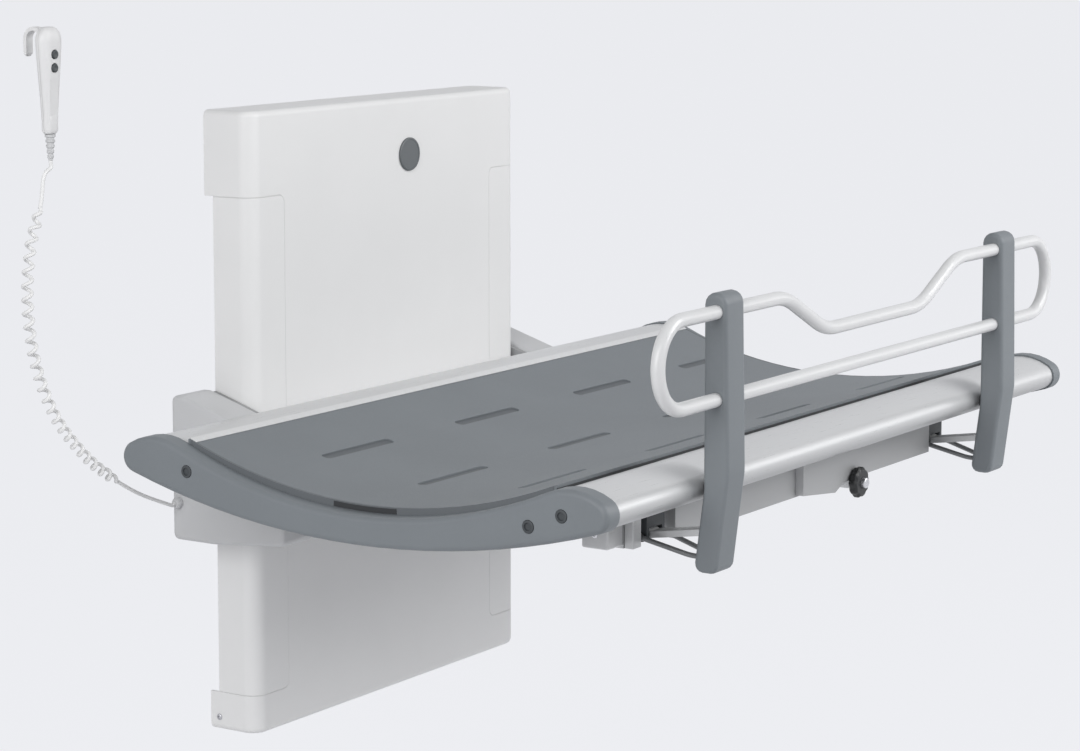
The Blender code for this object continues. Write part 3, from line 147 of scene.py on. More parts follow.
# Handset, its hook, button wells and bare panel
HANDSET_X = -0.735
HANDSET_SPLIT = -0.047
HANDSET_TOP = 0.590
HANDSET_FOOT = 0.443
HANDSET_TOP_SIZE = (0.042, 0.024)
HANDSET_FOOT_SIZE = (0.024, 0.016)
HANDSET_FOOT_RINGS = ((0.0, 0.70), (0.18, 0.84), (0.5, 0.95))
HANDSET_RINGS = 12
HANDSET_DOME_STEP = 6.5
HANDSET_DOME_ROUND = 0.7
HANDSET_CORNER = 0.46
HANDSET_EDGE = 0.0006
HANDSET_SMOOTH = 32.0
HOOK_WIDTH = 0.014
HOOK_THICKNESS = 0.0055
HOOK_ROOT = -0.041
HOOK_ROOT_RISE = 0.002
HOOK_BEND = 0.017
HOOK_CROWN = 0.5892
HOOK_FOOT = 0.5482
HOOK_TIP_ROUND = 0.0055
HOOK_EDGE = 0.0012
BUTTON_LEVELS = {"up_button": 0.552, "down_button": 0.5335}
BUTTON_RADIUS = 0.006
BUTTON_FLOOR = 0.0056
WELL_RIM = 0.0009
WELL_BORE = 0.0004
WELL_STEP = 0.0006
PANEL_LOW = 0.468
PANEL_HIGH = 0.516
PANEL_HALF_WIDTH = 0.0078
PANEL_DEPTH = 0.0005

# Faces of the small turned pieces, as depth behind the face and share of the radius
BUTTON_FACE = ((0.0011, 1.0), (0.0005, 0.94), (0.0001, 0.82), (0.0, 0.66), (0.0004, 0.45), (0.0006, 0.05))
KNOB_CAP_FACE = ((0.0016, 1.0), (0.0006, 0.94), (0.0, 0.82), (0.0, 0.5), (0.0008, 0.42), (0.0008, 0.05))

# End cap plugs, as distance out from the rim and share of the radius
PLUG_RISE = 0.0012
PLUG_FACE = ((0.0, 1.0), (0.0008, 0.95), (0.0012, 0.84), (0.0012, 0.62), (-0.0008, 0.52), (-0.0010, 0.05))

# Screw heads, as shares of their rise and radius
SCREW_RISE = 0.45
SCREW_HEAD = ((0.0, 1.0), (0.35, 1.0), (0.75, 0.86), (1.0, 0.60), (1.0, 0.42), (0.25, 0.38), (0.22, 0.04))
FOOT_SCREW_Y = -0.017
FOOT_SCREW_Z = -0.470
FOOT_SCREW_RADIUS = 0.005

# Round badge, as depth behind the face and distance in from the edge
BADGE_RING = ((0.0012, 0.0), (0.0004, 0.0004), (0.0, 0.0014), (0.0, 0.0030), (0.0007, 0.0037))
BADGE_CENTRE = 0.001

# Tray, its drain grooves with painted shade on their floors, the pale strip of painted highlight along its wall
# edge, and the dark sheets of painted shade over its drain slits
BENCH_MID_Y = -0.5265
RAIL_END = 0.6627
TRAY_LOW = -0.0335
TRAY_RADIUS = 0.800
# Pale strip of painted highlight along the tray's wall edge
STRIP_MIDDLE = 0.2955
STRIP_WIDTH = 0.012
STRIP_THICKNESS = 0.0015
STRIP_END_GAP = 0.002
STRIP_EDGE = 0.0006
SLOT_LENGTH = 0.160
SLOT_WIDTH = 0.016
SLOT_DEPTH = 0.003
SLOT_FIRST_X = -0.430
SLOT_PITCH_X = 0.325
SLOT_COLUMNS = 4
SLOT_ROWS = (0.185, 0.020, -0.145)
GROOVE_PLAY = 0.0008
GROOVE_ROUND = 0.98
GROOVE_THICKNESS = 0.0008
GROOVE_RIM = 0.0012
GROOVE_DISH = 0.0003
TROUGH_LOW = -0.043
TROUGH_RADIUS = 0.760
DRAIN_HALF_ANGLE = 0.052 / TROUGH_RADIUS
# Thin dark sheets of painted shade over the drain slits
SLIT_SHADE_OUT = 0.0002
SLIT_SHADE_DROP = 0.0004
SLIT_SHADE_WIDTH = 0.0011
SLIT_SHADE_MARGIN = 0.0022
SLIT_SHADE_EDGE = 0.0003

# Front rail's lower half with painted shade, its seal bead and the beam below it, whose front faces carry painted
# shade too
RAIL_SHADE_LOW = -0.0165
RAIL_SHADE_HIGH = 0.001
SEAL_BEAD_END = RAIL_END - 0.0002
SEAL_BEAD_FRONT = -0.8301
SEAL_BEAD_BACK = -0.82905
SEAL_BEAD_LOW = 0.0179
SEAL_BEAD_HIGH = 0.0214
SEAL_BEAD_EDGE = 0.0003
BEAM_BACK = -0.785
BEAM_END = -0.4965
BEAM_NOTCH = -0.4785
BEAM_STEP = -0.826
BEAM_LOW = -0.087
BEAM_TOP = -0.0368
BEAM_LEFT = -0.4035
# Beam faces that point forward more than this take the painted shade grey
BEAM_SHADE_NORMAL = -0.5
BEAM_COVER_START = BEAM_END - 0.039
BEAM_COVER_LOW = BEAM_LOW + 0.004
BEAM_COVER_EDGE = 0.003
BEAM_COVER_SCREW = (BEAM_COVER_START, -0.806, -0.064)
BEAM_COVER_SCREW_RADIUS = 0.0045
WEB_FRONT = BEAM_BACK - 0.005
WEB_LOW = -0.083
WEB_HIGH = -0.0523
WEB_EDGE = 0.001
CHEEK_START = BEAM_END + 0.001
CHEEK_END = -0.4749
CHEEK_FRONT = -0.8405
CHEEK_TOP = -0.0450
CHEEK_EDGE = 0.0015

# Lift unit's cover, columns, arms and wall plate
COVER_HALF = 0.352
COVER_FRONT = -0.088
COVER_CORNER = 0.025
COLUMN_EDGE = 0.271
COLUMN_TOP = 0.324
COLUMN_BOTTOM = -0.431
COLUMN_CORNER = 0.012
COLUMN_BACK = -0.0175
SEAM_HALF = 0.0004
SEAM_BEAD_RADIUS = SEAM_HALF * 0.98
ARM_INNER = 0.364
ARM_TOP = 0.035
ARM_SHOULDER = -0.022
ARM_SLOPE = 0.31
# Grey strips of painted shade in the gap between each arm and its column
GAP_SHADE_FRONT = -0.104
GAP_SHADE_BACK = ARM_SHOULDER + 0.003
GAP_SHADE_LOW = -0.150
GAP_SHADE_TOP = ARM_TOP - 0.0035
GAP_SHADE_CUT = ARM_TOP - 0.0040
GAP_SHADE_COLUMN_GAP = 0.0012
GAP_SHADE_EDGE = 0.001
PLATE_HOLE_SPACING = 0.255
PLATE_HOLE_LEVELS = (0.390, 0.130, -0.170, -0.420)
PLATE_HOLE_RADIUS = 0.0055
PLATE_SINK_RADIUS = 0.009
PLATE_SINK_DEPTH = 0.0025
PLATE_TOOL_FRONT = 0.002
PLATE_TOOL_BACK = 0.001
PLATE_EDGE = 0.0006

# Edge rounding of the pieces that keep their solid's shape
EDGES = {
    "main_cover": 0.0008, "left_column_cover": 0.0008, "right_column_cover": 0.0008,
    "left_arm": 0.0012, "right_arm": 0.0012, "wall_rail": 0.0008, "front_rail": 0.0008,
    "left_end_cap": 0.0008, "right_end_cap": 0.0008, "tray": 0.0008,
    "left_tray_edging": 0.0006, "right_tray_edging": 0.0006, "wall_tray_seal": 0.0006, "front_tray_seal": 0.0006,
    "left_rib": 0.0012, "middle_rib": 0.0012, "right_rib": 0.0012, "front_beam": 0.0012,
    "left_guard_bracket": 0.0010, "right_guard_bracket": 0.0010, "left_post": 0.0008, "right_post": 0.0008,
    "left_strap": 0.0010, "right_strap": 0.0010, "left_post_buffer": 0.0010, "right_post_buffer": 0.0010,
    "release_knob": 0.0009,
}

# Pieces whose finish differs from their slot's own
OWN_FINISH = {"tray": "tray_skin", "front_rail": "front_rail_painted_shade", "wall_tray_seal": "tray_skin",
              "front_tray_seal": "tray_skin"}

# Colours of the finishes
WHITE = (0.83, 0.83, 0.83)
HANDSET_WHITE = (0.72, 0.72, 0.725)
SLATE = (0.178, 0.196, 0.211)
SILVER = (0.62, 0.625, 0.63)
# Grey of painted shade, on the front beam's front faces and web and on the front rail's lower half
BEAM_SHADE_GREY = (0.37, 0.375, 0.38)
# Grey of the painted shade in the gaps beside the arms
ARM_GAP_SHADE_GREY = (0.32, 0.325, 0.33)
ARM_GREY = (0.56, 0.565, 0.575)
EDGING = (0.130, 0.142, 0.153)
# Painted shade on the floors of the tray's drain grooves
GROOVE_SHADE = (0.105, 0.115, 0.125)
TUBE_WHITE = (0.70, 0.705, 0.71)
CORD_WHITE = (0.80, 0.80, 0.80)
PLATED = (0.50, 0.50, 0.52)
BRIGHT = (0.66, 0.66, 0.68)
RUBBER = (0.030, 0.032, 0.035)
DARK = (0.042, 0.048, 0.053)
BLACK = (0.013, 0.014, 0.015)
BAIL_GREY = (0.17, 0.175, 0.18)
BADGE_GREY = (0.110, 0.122, 0.130)
GREY = (0.45, 0.455, 0.46)

# Grain, gloss and wear of the finishes
SURFACE_INPUTS = (("Colour", "Color", (0.8, 0.8, 0.8, 1.0)), ("Grain", "Float", 900.0),
                  ("Darkest", "Float", 0.96), ("Lightest", "Float", 1.04),
                  ("Smooth", "Float", 0.35), ("Rough", "Float", 0.5))
SURFACE_OUTPUTS = (("Colour", "Color"), ("Roughness", "Float"), ("Height", "Float"))
EVEN = (1, 1, 1)
TONE_NOISE = (0.30, 0.70)
GLOSS_NOISE = (0.25, 0.75)
FLAT_POINTINESS = 0.50
EDGE_REACH = 0.56
COAT_ROUGHNESS = 0.2
WORN_GAIN = 1.6
WORN_LIFT = 0.05

# Studio
BACKDROP = (0.823, 0.831, 0.863)
AMBIENT = 0.26
AMBIENT_TINT = (0.97, 0.98, 1.0)
FLOOR_Z = -0.97
FLOOR_HALF = 160.0
FLOOR_PAINT = (0.80, 0.80, 0.82)
FLOOR_GLOW = 1.085
FLOOR_GLOW_SHARE = 0.90
LAMPS = (
    ("front softbox", (1.6, -4.0, 2.0), 2.4, 116.0),
    ("left softbox", (-4.0, -0.6, 1.2), 2.0, 60.0),
    ("high left softbox", (-3.6, -2.0, 2.4), 2.0, 36.0),
    ("low right softbox", (3.6, -3.0, 0.9), 1.4, 8.0),
)
LAMP_TARGET = Vector((0.0, -0.4, 0.1))


def deselect():
    if bpy.context.mode != "OBJECT":
        bpy.ops.object.mode_set(mode="OBJECT")
    bpy.ops.object.select_all(action="DESELECT")


def take(piece):
    """Make one piece the only one that is selected."""
    deselect()
    piece.select_set(True)
    bpy.context.view_layer.objects.active = piece


def edit_all():
    """Open the piece in hand in edit mode, all of it selected."""
    bpy.ops.object.mode_set(mode="EDIT")
    bpy.ops.mesh.select_all(action="SELECT")


def leave_edit():
    bpy.ops.object.mode_set(mode="OBJECT")


def draw_out(way):
    """Draw the selected face out along a vector."""
    bpy.ops.mesh.extrude_region_move(TRANSFORM_OT_translate={"value": way})


def face_out(merge=0.0):
    """Merge doubles where a distance is given, and point all faces outwards."""
    bpy.ops.mesh.select_all(action="SELECT")
    if merge:
        bpy.ops.mesh.remove_doubles(threshold=merge)
    bpy.ops.mesh.normals_make_consistent(inside=False)


def lean_by(angle, centre):
    """Turn what is selected about X; with no window the operator turns the other way."""
    bpy.ops.transform.rotate(value=-angle, orient_axis="X", center_override=centre)


def finish_step(piece, kind, **settings):
    """One modifier, applied at once."""
    take(piece)
    step = piece.modifiers.new(kind.lower(), kind)
    for word, value in settings.items():
        setattr(step, word, value)
    bpy.ops.object.modifier_apply(modifier=step.name)


def round_edges(piece, width, segments, degrees=40.0, **settings):
    """Round the edges that turn by more than an angle."""
    finish_step(piece, "BEVEL", width=width, segments=segments, limit_method="ANGLE",
                angle_limit=math.radians(degrees), **settings)


def smooth(piece, degrees=38.0):
    take(piece)
    bpy.ops.object.shade_smooth_by_angle(angle=math.radians(degrees))
    finish_step(piece, "WEIGHTED_NORMAL", keep_sharp=True)


def cut_away(piece, tool):
    """Take a tool shape out of a piece, and drop the tool."""
    finish_step(piece, "BOOLEAN", object=tool, operation="DIFFERENCE", solver="EXACT")
    bpy.data.objects.remove(tool, do_unlink=True)


def finish_all_over(piece, finish):
    piece.data.materials.clear()
    piece.data.materials.append(finish)


def stands_for(piece, finish, *nodes):
    """A finished piece takes its finish, the body of the nodes that it stands for, and their place, and the nodes
    are hidden.
    """
    finish_all_over(piece, finish)
    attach(piece, BODY_OF[nodes[0]])
    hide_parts(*nodes)


def rides_on(piece, finish, node):
    """A small fitting that sits on a node and moves with it."""
    finish_all_over(piece, finish)
    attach(piece, BODY_OF[node])


def camera_at_the_photograph():
    deselect()
    bpy.ops.object.camera_add(location=CAMERA_PLACE, rotation=CAMERA_TURN)
    camera = bpy.context.object
    camera.name = "camera"
    camera.data.lens = CAMERA_LENS
    camera.data.sensor_width = CAMERA_SENSOR
    camera.data.shift_y = CAMERA_SHIFT
    camera.data.clip_end = CAMERA_FAR
    bpy.context.scene.camera = camera


def effect(name, inputs, outputs):
    """A node group with named sockets, and its two end nodes."""
    group = bpy.data.node_groups.new(name, "ShaderNodeTree")
    for word, kind, value in inputs:
        socket = group.interface.new_socket(word, in_out="INPUT", socket_type="NodeSocket" + kind)
        socket.default_value = value
    for word, kind in outputs:
        group.interface.new_socket(word, in_out="OUTPUT", socket_type="NodeSocket" + kind)
    return group, group.nodes.new("NodeGroupInput"), group.nodes.new("NodeGroupOutput")


def node(tree, kind, **settings):
    made = tree.nodes.new("ShaderNode" + kind)
    for word, value in settings.items():
        setattr(made, word, value)
    return made


def join(tree, source, out, target, into):
    tree.links.new(source.outputs[out], target.inputs[into])


def noise_on_object(tree, stretch, detail, roughness, scale=1.0):
    """Noise on the piece's own coordinates."""
    place = node(tree, "TexCoord")
    mapping = node(tree, "Mapping")
    mapping.inputs["Scale"].default_value = stretch
    noise = node(tree, "TexNoise")
    noise.inputs["Scale"].default_value = scale
    noise.inputs["Detail"].default_value = detail
    noise.inputs["Roughness"].default_value = roughness
    join(tree, place, "Object", mapping, "Vector")
    join(tree, mapping, "Vector", noise, "Vector")
    return noise


def noise_between(tree, noise, limits, start, low, high):
    """A noise spread out between two of the group's inputs."""
    spread = node(tree, "MapRange")
    spread.inputs["From Min"].default_value, spread.inputs["From Max"].default_value = limits
    join(tree, noise, "Fac", spread, "Value")
    join(tree, start, low, spread, "To Min")
    join(tree, start, high, spread, "To Max")
    return spread


def grained(name, slow, fine):
    """Group for a surface: a slow noise for its tone, and a fine one for its gloss and its height."""
    tree, start, end = effect(name, SURFACE_INPUTS, SURFACE_OUTPUTS)
    patches = noise_on_object(tree, **slow)
    grain = noise_on_object(tree, **fine)
    join(tree, start, "Grain", grain, "Scale")
    tone = noise_between(tree, patches, TONE_NOISE, start, "Darkest", "Lightest")
    tint = node(tree, "VectorMath", operation="SCALE")
    join(tree, start, "Colour", tint, 0)
    join(tree, tone, "Result", tint, "Scale")
    join(tree, tint, "Vector", end, "Colour")
    join(tree, noise_between(tree, grain, GLOSS_NOISE, start, "Smooth", "Rough"), "Result", end, "Roughness")
    join(tree, grain, "Fac", end, "Height")
    return tree


def moulded_skin():
    """Fine moulded grain with slow changes of tone."""
    return grained("moulded_skin", {"stretch": EVEN, "scale": 6.0, "detail": 3.0, "roughness": 0.5},
                   {"stretch": EVEN, "detail": 2.0, "roughness": 0.6})


def drawn_lines():
    """Long fine lines of an extrusion that was drawn along the bench."""
    return grained("drawn_lines", {"stretch": (0.4, 1, 1), "scale": 9.0, "detail": 2.0, "roughness": 0.5},
                   {"stretch": (0.012, 1, 1), "detail": 3.0, "roughness": 0.65})


def rubbed_edges():
    """Mask of the outer edges, where hands and cloths rub a finish."""
    tree, start, end = effect("rubbed_edges", (("Reach", "Float", EDGE_REACH),), (("Edge", "Float"),))
    shape = node(tree, "NewGeometry")
    spread = node(tree, "MapRange")
    spread.inputs["From Min"].default_value = FLAT_POINTINESS
    join(tree, start, "Reach", spread, "From Max")
    join(tree, shape, "Pointiness", spread, "Value")
    break_up = noise_on_object(tree, EVEN, detail=3.0, roughness=0.6, scale=160.0)
    worn = node(tree, "Math", operation="MULTIPLY", use_clamp=True)
    join(tree, spread, "Result", worn, 0)
    join(tree, break_up, "Fac", worn, 1)
    join(tree, worn, "Value", end, "Edge")
    return tree


def painted_shade_below(tree, upper, under, low, high):
    """Painted shade: colour that passes smoothly from a darker grey below to the finish's own colour above, between
    two heights.
    """
    place = node(tree, "TexCoord")
    split = node(tree, "SeparateXYZ")
    height = node(tree, "MapRange")
    height.inputs["From Min"].default_value = low
    height.inputs["From Max"].default_value = high
    blend = node(tree, "Mix", data_type="RGBA")
    blend.inputs["A"].default_value = (*under, 1.0)
    blend.inputs["B"].default_value = (*upper, 1.0)
    join(tree, place, "Object", split, "Vector")
    join(tree, split, "Z", height, "Value")
    join(tree, height, "Result", blend, "Factor")
    return blend


def surface(name, effects, colour, rough, grain, tone, metallic=0.0, bump=0.15, depth=0.0002, wear=0.0, coat=0.0,
            under=None):
    """A finish: its grain, bump and worn edges on one shader, with painted shade below a given height if it has
    one.
    """
    finish = bpy.data.materials.new(name)
    finish.use_nodes = True
    tree = finish.node_tree
    shader = tree.nodes["Principled BSDF"]
    shader.inputs["Metallic"].default_value = metallic
    shader.inputs["Coat Weight"].default_value = coat
    shader.inputs["Coat Roughness"].default_value = COAT_ROUGHNESS
    skin = node(tree, "Group", node_tree=effects["skin"])
    values = {"Colour": (*colour, 1.0), "Grain": grain, "Darkest": 1 - tone, "Lightest": 1 + tone,
              "Smooth": rough[0], "Rough": rough[1]}
    for word, value in values.items():
        skin.inputs[word].default_value = value
    if under:
        # painted shade: the lower part of the piece takes a darker grey, blending into the finish's own colour
        # higher up
        join(tree, painted_shade_below(tree, colour, *under), "Result", skin, "Colour")
    raised = node(tree, "Bump")
    raised.inputs["Strength"].default_value = bump
    raised.inputs["Distance"].default_value = depth
    join(tree, skin, "Height", raised, "Height")
    join(tree, raised, "Normal", shader, "Normal")
    join(tree, skin, "Roughness", shader, "Roughness")
    if wear:
        edge = node(tree, "Group", node_tree=effects["edges"])
        amount = node(tree, "Math", operation="MULTIPLY")
        amount.inputs[1].default_value = wear
        worn = node(tree, "Mix", data_type="RGBA")
        worn.inputs["B"].default_value = tuple(min(1.0, c * WORN_GAIN + WORN_LIFT) for c in colour) + (1.0,)
        join(tree, edge, "Edge", amount, 0)
        join(tree, amount, "Value", worn, "Factor")
        join(tree, skin, "Colour", worn, "A")
        join(tree, worn, "Result", shader, "Base Color")
    else:
        join(tree, skin, "Colour", shader, "Base Color")
    finish.diffuse_color = (*colour, 1.0)
    return finish


def finishes():
    """Every finish by name: its colour, its least and greatest roughness, its grain and its change of tone."""
    moulded = {"skin": moulded_skin(), "edges": rubbed_edges()}
    drawn = {"skin": drawn_lines(), "edges": moulded["edges"]}
    # painted shade on the front rail's lower half, in the beam's shade grey
    rail_painted_shade = (BEAM_SHADE_GREY, RAIL_SHADE_LOW, RAIL_SHADE_HIGH)
    return {
        "white_moulding": surface("white moulding", moulded, WHITE, (0.34, 0.46), 1500, 0.012, bump=0.10),
        "handset_white": surface("handset white", moulded, HANDSET_WHITE, (0.38, 0.50), 1500, 0.012, bump=0.10),
        "beam_painted_shade": surface("beam grey with painted shade", drawn, BEAM_SHADE_GREY, (0.34, 0.46), 1400, 0.02, metallic=0.2, bump=0.10),
        "arm_gap_shade_grey": surface("painted arm gap shade", moulded, ARM_GAP_SHADE_GREY, (0.44, 0.58), 1400, 0.02, bump=0.10),
        "front_rail_painted_shade": surface("silver rail with painted shade below", drawn, SILVER, (0.26, 0.36), 1400, 0.02,
                                   metallic=0.25, bump=0.10, under=rail_painted_shade),
        "slate_moulding": surface("slate moulding", moulded, SLATE, (0.42, 0.60), 1300, 0.035, bump=0.30,
                                  wear=0.12),
        "tray_skin": surface("slate tray skin", moulded, SLATE, (0.44, 0.62), 800, 0.035, bump=0.40),
        "silver_rail": surface("silver rail", drawn, SILVER, (0.26, 0.36), 1400, 0.02, metallic=0.25, bump=0.10),
        "grey_arm": surface("grey arm enamel", moulded, ARM_GREY, (0.34, 0.46), 700, 0.015, bump=0.12),
        "slate_edging": surface("dark slate edging", moulded, EDGING, (0.50, 0.66), 1200, 0.04, bump=0.2),
        "white_tube": surface("white tube coating", moulded, TUBE_WHITE, (0.26, 0.36), 500, 0.012, bump=0.08,
                              coat=0.2),
        "plated_steel": surface("plated steel", moulded, PLATED, (0.34, 0.48), 260, 0.05, metallic=0.9, bump=0.06),
        "bright_steel": surface("bright steel", drawn, BRIGHT, (0.20, 0.32), 1800, 0.02, metallic=0.95, bump=0.08),
        "dark_rubber": surface("dark rubber", moulded, RUBBER, (0.55, 0.75), 1800, 0.05, bump=0.3),
        "dark_plastic": surface("dark plastic", moulded, DARK, (0.46, 0.60), 1500, 0.04, bump=0.2, wear=0.1),
        "black_grip": surface("black grip", moulded, BLACK, (0.36, 0.55), 1600, 0.06, bump=0.4, wear=0.15),
        "grey_plastic": surface("grey plastic", moulded, GREY, (0.36, 0.50), 1500, 0.02, bump=0.15),
        "badge": surface("badge disc", moulded, BADGE_GREY, (0.34, 0.46), 1500, 0.03, bump=0.1),
        "bail": surface("bail coating", moulded, BAIL_GREY, (0.30, 0.42), 900, 0.03, metallic=0.3, bump=0.1),
        "groove": surface("groove floor with painted shade", moulded, GROOVE_SHADE, (0.50, 0.66), 900, 0.05, bump=0.3),
        "cord_white": surface("white cord jacket", moulded, CORD_WHITE, (0.38, 0.50), 900, 0.02, bump=0.1),
    }


def smooth_path(points, steps):
    """Points of a smooth curve through the given ones."""
    ends = [points[0] * 2 - points[1]] + points + [points[-1] * 2 - points[-2]]
    path = []
    for a, b, c, d in zip(ends, ends[1:], ends[2:], ends[3:]):
        for k in range(steps):
            t = k / steps
            path.append(0.5 * (2 * b + (c - a) * t + (2 * a - 5 * b + 4 * c - d) * t ** 2
                               + (3 * b - a - 3 * c + d) * t ** 3))
    return path + [points[-1]]


def walk(path, count):
    """Evenly spaced points along a path."""
    lengths = [0.0]
    for a, b in zip(path, path[1:]):
        lengths.append(lengths[-1] + (b - a).length)
    spread, i = [], 0
    for k in range(count + 1):
        goal = lengths[-1] * k / count
        while i < len(path) - 2 and lengths[i + 1] < goal:
            i += 1
        share = (goal - lengths[i]) / (lengths[i + 1] - lengths[i])
        spread.append(path[i].lerp(path[i + 1], share))
    return spread


def cord_points():
    """Centre line of the cord: straight out of both ends, with its curls between."""
    top_lead = CORD_TOP - Vector((0, 0, CORD_LEAD))
    foot_lead = CORD_FOOT - Vector((CORD_LEAD, 0, 0))
    bow = [top_lead, top_lead - Vector((0, 0, CORD_LEAD))] + [Vector(p) for p in CORD_BOW]
    bow += [foot_lead - Vector((CORD_LEAD, 0, 0)), foot_lead]
    curled = CURLS * CURL_POINTS
    count = round(curled / (CURL_END - CURL_START))
    axis = walk(smooth_path(bow, BOW_STEPS), count)
    begin = round(count * CURL_START)
    points = []
    side = Vector((0, 1, 0))
    for k, place in enumerate(axis):
        along = (axis[min(k + 1, count)] - axis[max(k - 1, 0)]).normalized()
        side = (side - along * side.dot(along)).normalized()
        turn = 2 * math.pi * (k - begin) / CURL_POINTS
        grow = min(max((k - begin) / CURL_POINTS, 0.0), max((begin + curled - k) / CURL_POINTS, 0.0), 1.0)
        points.append(place + CURL_RADIUS * grow * (side * math.cos(turn) + along.cross(side) * math.sin(turn)))
    return [CORD_TOP] + points + [CORD_FOOT]


def line(name, points, radius, roundness, closed=False):
    """A round bar drawn along a path, left as a curve."""
    curve = bpy.data.curves.new(name, "CURVE")
    curve.dimensions = "3D"
    curve.bevel_depth = radius
    curve.bevel_resolution = roundness
    curve.use_fill_caps = not closed
    spline = curve.splines.new("POLY")
    spline.points.add(len(points) - 1)
    for point, place in zip(spline.points, points):
        point.co = (*place, 1.0)
    spline.use_cyclic_u = closed
    spline.use_smooth = True
    bar = bpy.data.objects.new(name, curve)
    bpy.context.scene.collection.objects.link(bar)
    return bar


def bar_as_mesh(bar):
    take(bar)
    bpy.ops.object.convert(target="MESH")
    bar = bpy.context.object
    smooth(bar, BAR_SMOOTH)
    return bar


def curly_cord(looks):
    cord = line("curly_cord_finished", cord_points(), CORD_RADIUS, roundness=4)
    stands_for(cord, looks["cord_white"], "curly_cord")


def rounded_copy(name, edge):
    """A merged copy of a node with its hard edges rounded."""
    take(NODES[name])
    bpy.ops.object.duplicate()
    piece = bpy.context.object
    bpy.ops.object.parent_clear(type="CLEAR_KEEP_TRANSFORM")
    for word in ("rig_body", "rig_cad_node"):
        del piece[word]
    piece.name = name + "_finished"
    bpy.ops.mesh.customdata_custom_splitnormals_clear()
    edit_all()
    bpy.ops.mesh.remove_doubles(threshold=MERGE_NODE)
    bpy.ops.mesh.dissolve_limited(angle_limit=math.radians(FLAT_DEGREES))
    leave_edit()
    if edge:
        round_edges(piece, edge, segments=2, miter_outer="MITER_ARC")
    smooth(piece)
    return piece


def rounded_pieces(looks):
    """Pieces that keep their solid's shape; the front beam's front faces carry painted shade, a darker grey than
    its silver sides.
    """
    for name, edge in EDGES.items():
        piece = rounded_copy(name, edge)
        stands_for(piece, looks[OWN_FINISH.get(name, SLOT_OF[name])], name)
        if name == "front_beam":
            # painted shade: the beam's forward-facing faces take the darker grey
            piece.data.materials.append(looks["beam_painted_shade"])
            for face in piece.data.polygons:
                if face.normal.y < BEAM_SHADE_NORMAL:
                    face.material_index = 1


def turned_piece(name, axis, centre, profile, sides):
    """A round piece drawn out ring by ring through (distance along its axis, radius) pairs."""
    deselect()
    way = ALONG[axis]
    flat = Vector(centre) - way * Vector(centre).dot(way)
    first, radius = profile[0]
    bpy.ops.mesh.primitive_circle_add(vertices=sides, radius=radius, fill_type="NGON", location=flat + way * first,
                                      rotation=TURNS[axis])
    piece = bpy.context.object
    piece.name = name
    bpy.ops.object.transform_apply(location=True, rotation=True, scale=True)
    edit_all()
    for (start, wide), (end, narrow) in zip(profile, profile[1:]):
        draw_out(way * (end - start))
        share = narrow / wide
        bpy.ops.transform.resize(value=(share, share, share), center_override=flat + way * end)
    face_out(MERGE_TURNED)
    leave_edit()
    return piece


def copy_of(piece, name, shift):
    """A second piece of the same shape, moved, with a mesh of its own."""
    take(piece)
    bpy.ops.object.duplicate()
    twin = bpy.context.object
    twin.name = name
    twin.parent = None
    for word in list(twin.keys()):
        del twin[word]
    twin.matrix_world = Matrix.Translation(shift)
    bpy.ops.object.transform_apply(location=True, rotation=True, scale=True)
    return twin


def sheet(name, place, size, turn=(0.0, 0.0, 0.0)):
    """A flat rectangle, the start of a piece, at its size and place."""
    deselect()
    bpy.ops.mesh.primitive_plane_add(size=1.0, location=place)
    piece = bpy.context.object
    piece.name = name
    piece.rotation_euler = turn
    piece.scale = (*size, 1.0)
    bpy.ops.object.transform_apply(location=True, rotation=True, scale=True)
    return piece


def block(name, low, high, edge):
    """A cast or moulded block, drawn up from its base outline and rounded on all its edges."""
    low, high = Vector(low), Vector(high)
    middle = (low + high) / 2
    piece = sheet(name, (middle.x, middle.y, low.z), (high.x - low.x, high.y - low.y))
    edit_all()
    draw_out((0.0, 0.0, high.z - low.z))
    face_out()
    leave_edit()
    if edge:
        round_edges(piece, edge, segments=3)
    smooth(piece)
    return piece


def wall_plate(looks):
    """Back plate with countersunk fixing holes."""
    piece = rounded_copy("wall_plate", 0.0)
    low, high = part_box("wall_plate")
    bore = [(low.y - PLATE_TOOL_FRONT, PLATE_HOLE_RADIUS), (high.y - PLATE_SINK_DEPTH, PLATE_HOLE_RADIUS),
            (high.y + PLATE_TOOL_BACK, PLATE_SINK_RADIUS)]
    for column in (-1, 0, 1):
        for height in PLATE_HOLE_LEVELS:
            place = (column * PLATE_HOLE_SPACING, 0.0, height)
            cut_away(piece, turned_piece("plate_hole", "Y", place, bore, sides=32))
    round_edges(piece, PLATE_EDGE, segments=2, degrees=35.0)
    smooth(piece)
    stands_for(piece, looks["plated_steel"], "wall_plate")


def arc(centre, radius, start, end, steps):
    angles = [start + (end - start) * k / steps for k in range(steps + 1)]
    return [(centre[0] + radius * math.cos(a), centre[1] + radius * math.sin(a)) for a in angles]


def rounded_line(corners, steps):
    """Closed outline through corners (u, v, radius), each rounded by an arc."""
    outline = []
    for i, (u, v, radius) in enumerate(corners):
        here = Vector((u, v))
        back = (Vector(corners[i - 1][:2]) - here).normalized()
        ahead = (Vector(corners[(i + 1) % len(corners)][:2]) - here).normalized()
        half = back.angle(ahead) / 2
        centre = here + (back + ahead).normalized() * (radius / math.sin(half))
        first = here + back * (radius / math.tan(half)) - centre
        last = here + ahead * (radius / math.tan(half)) - centre
        start = math.atan2(first.y, first.x)
        turn = (math.atan2(last.y, last.x) - start + math.pi) % (2 * math.pi) - math.pi
        outline.extend(arc(centre, radius, start, start + turn, steps))
    return outline


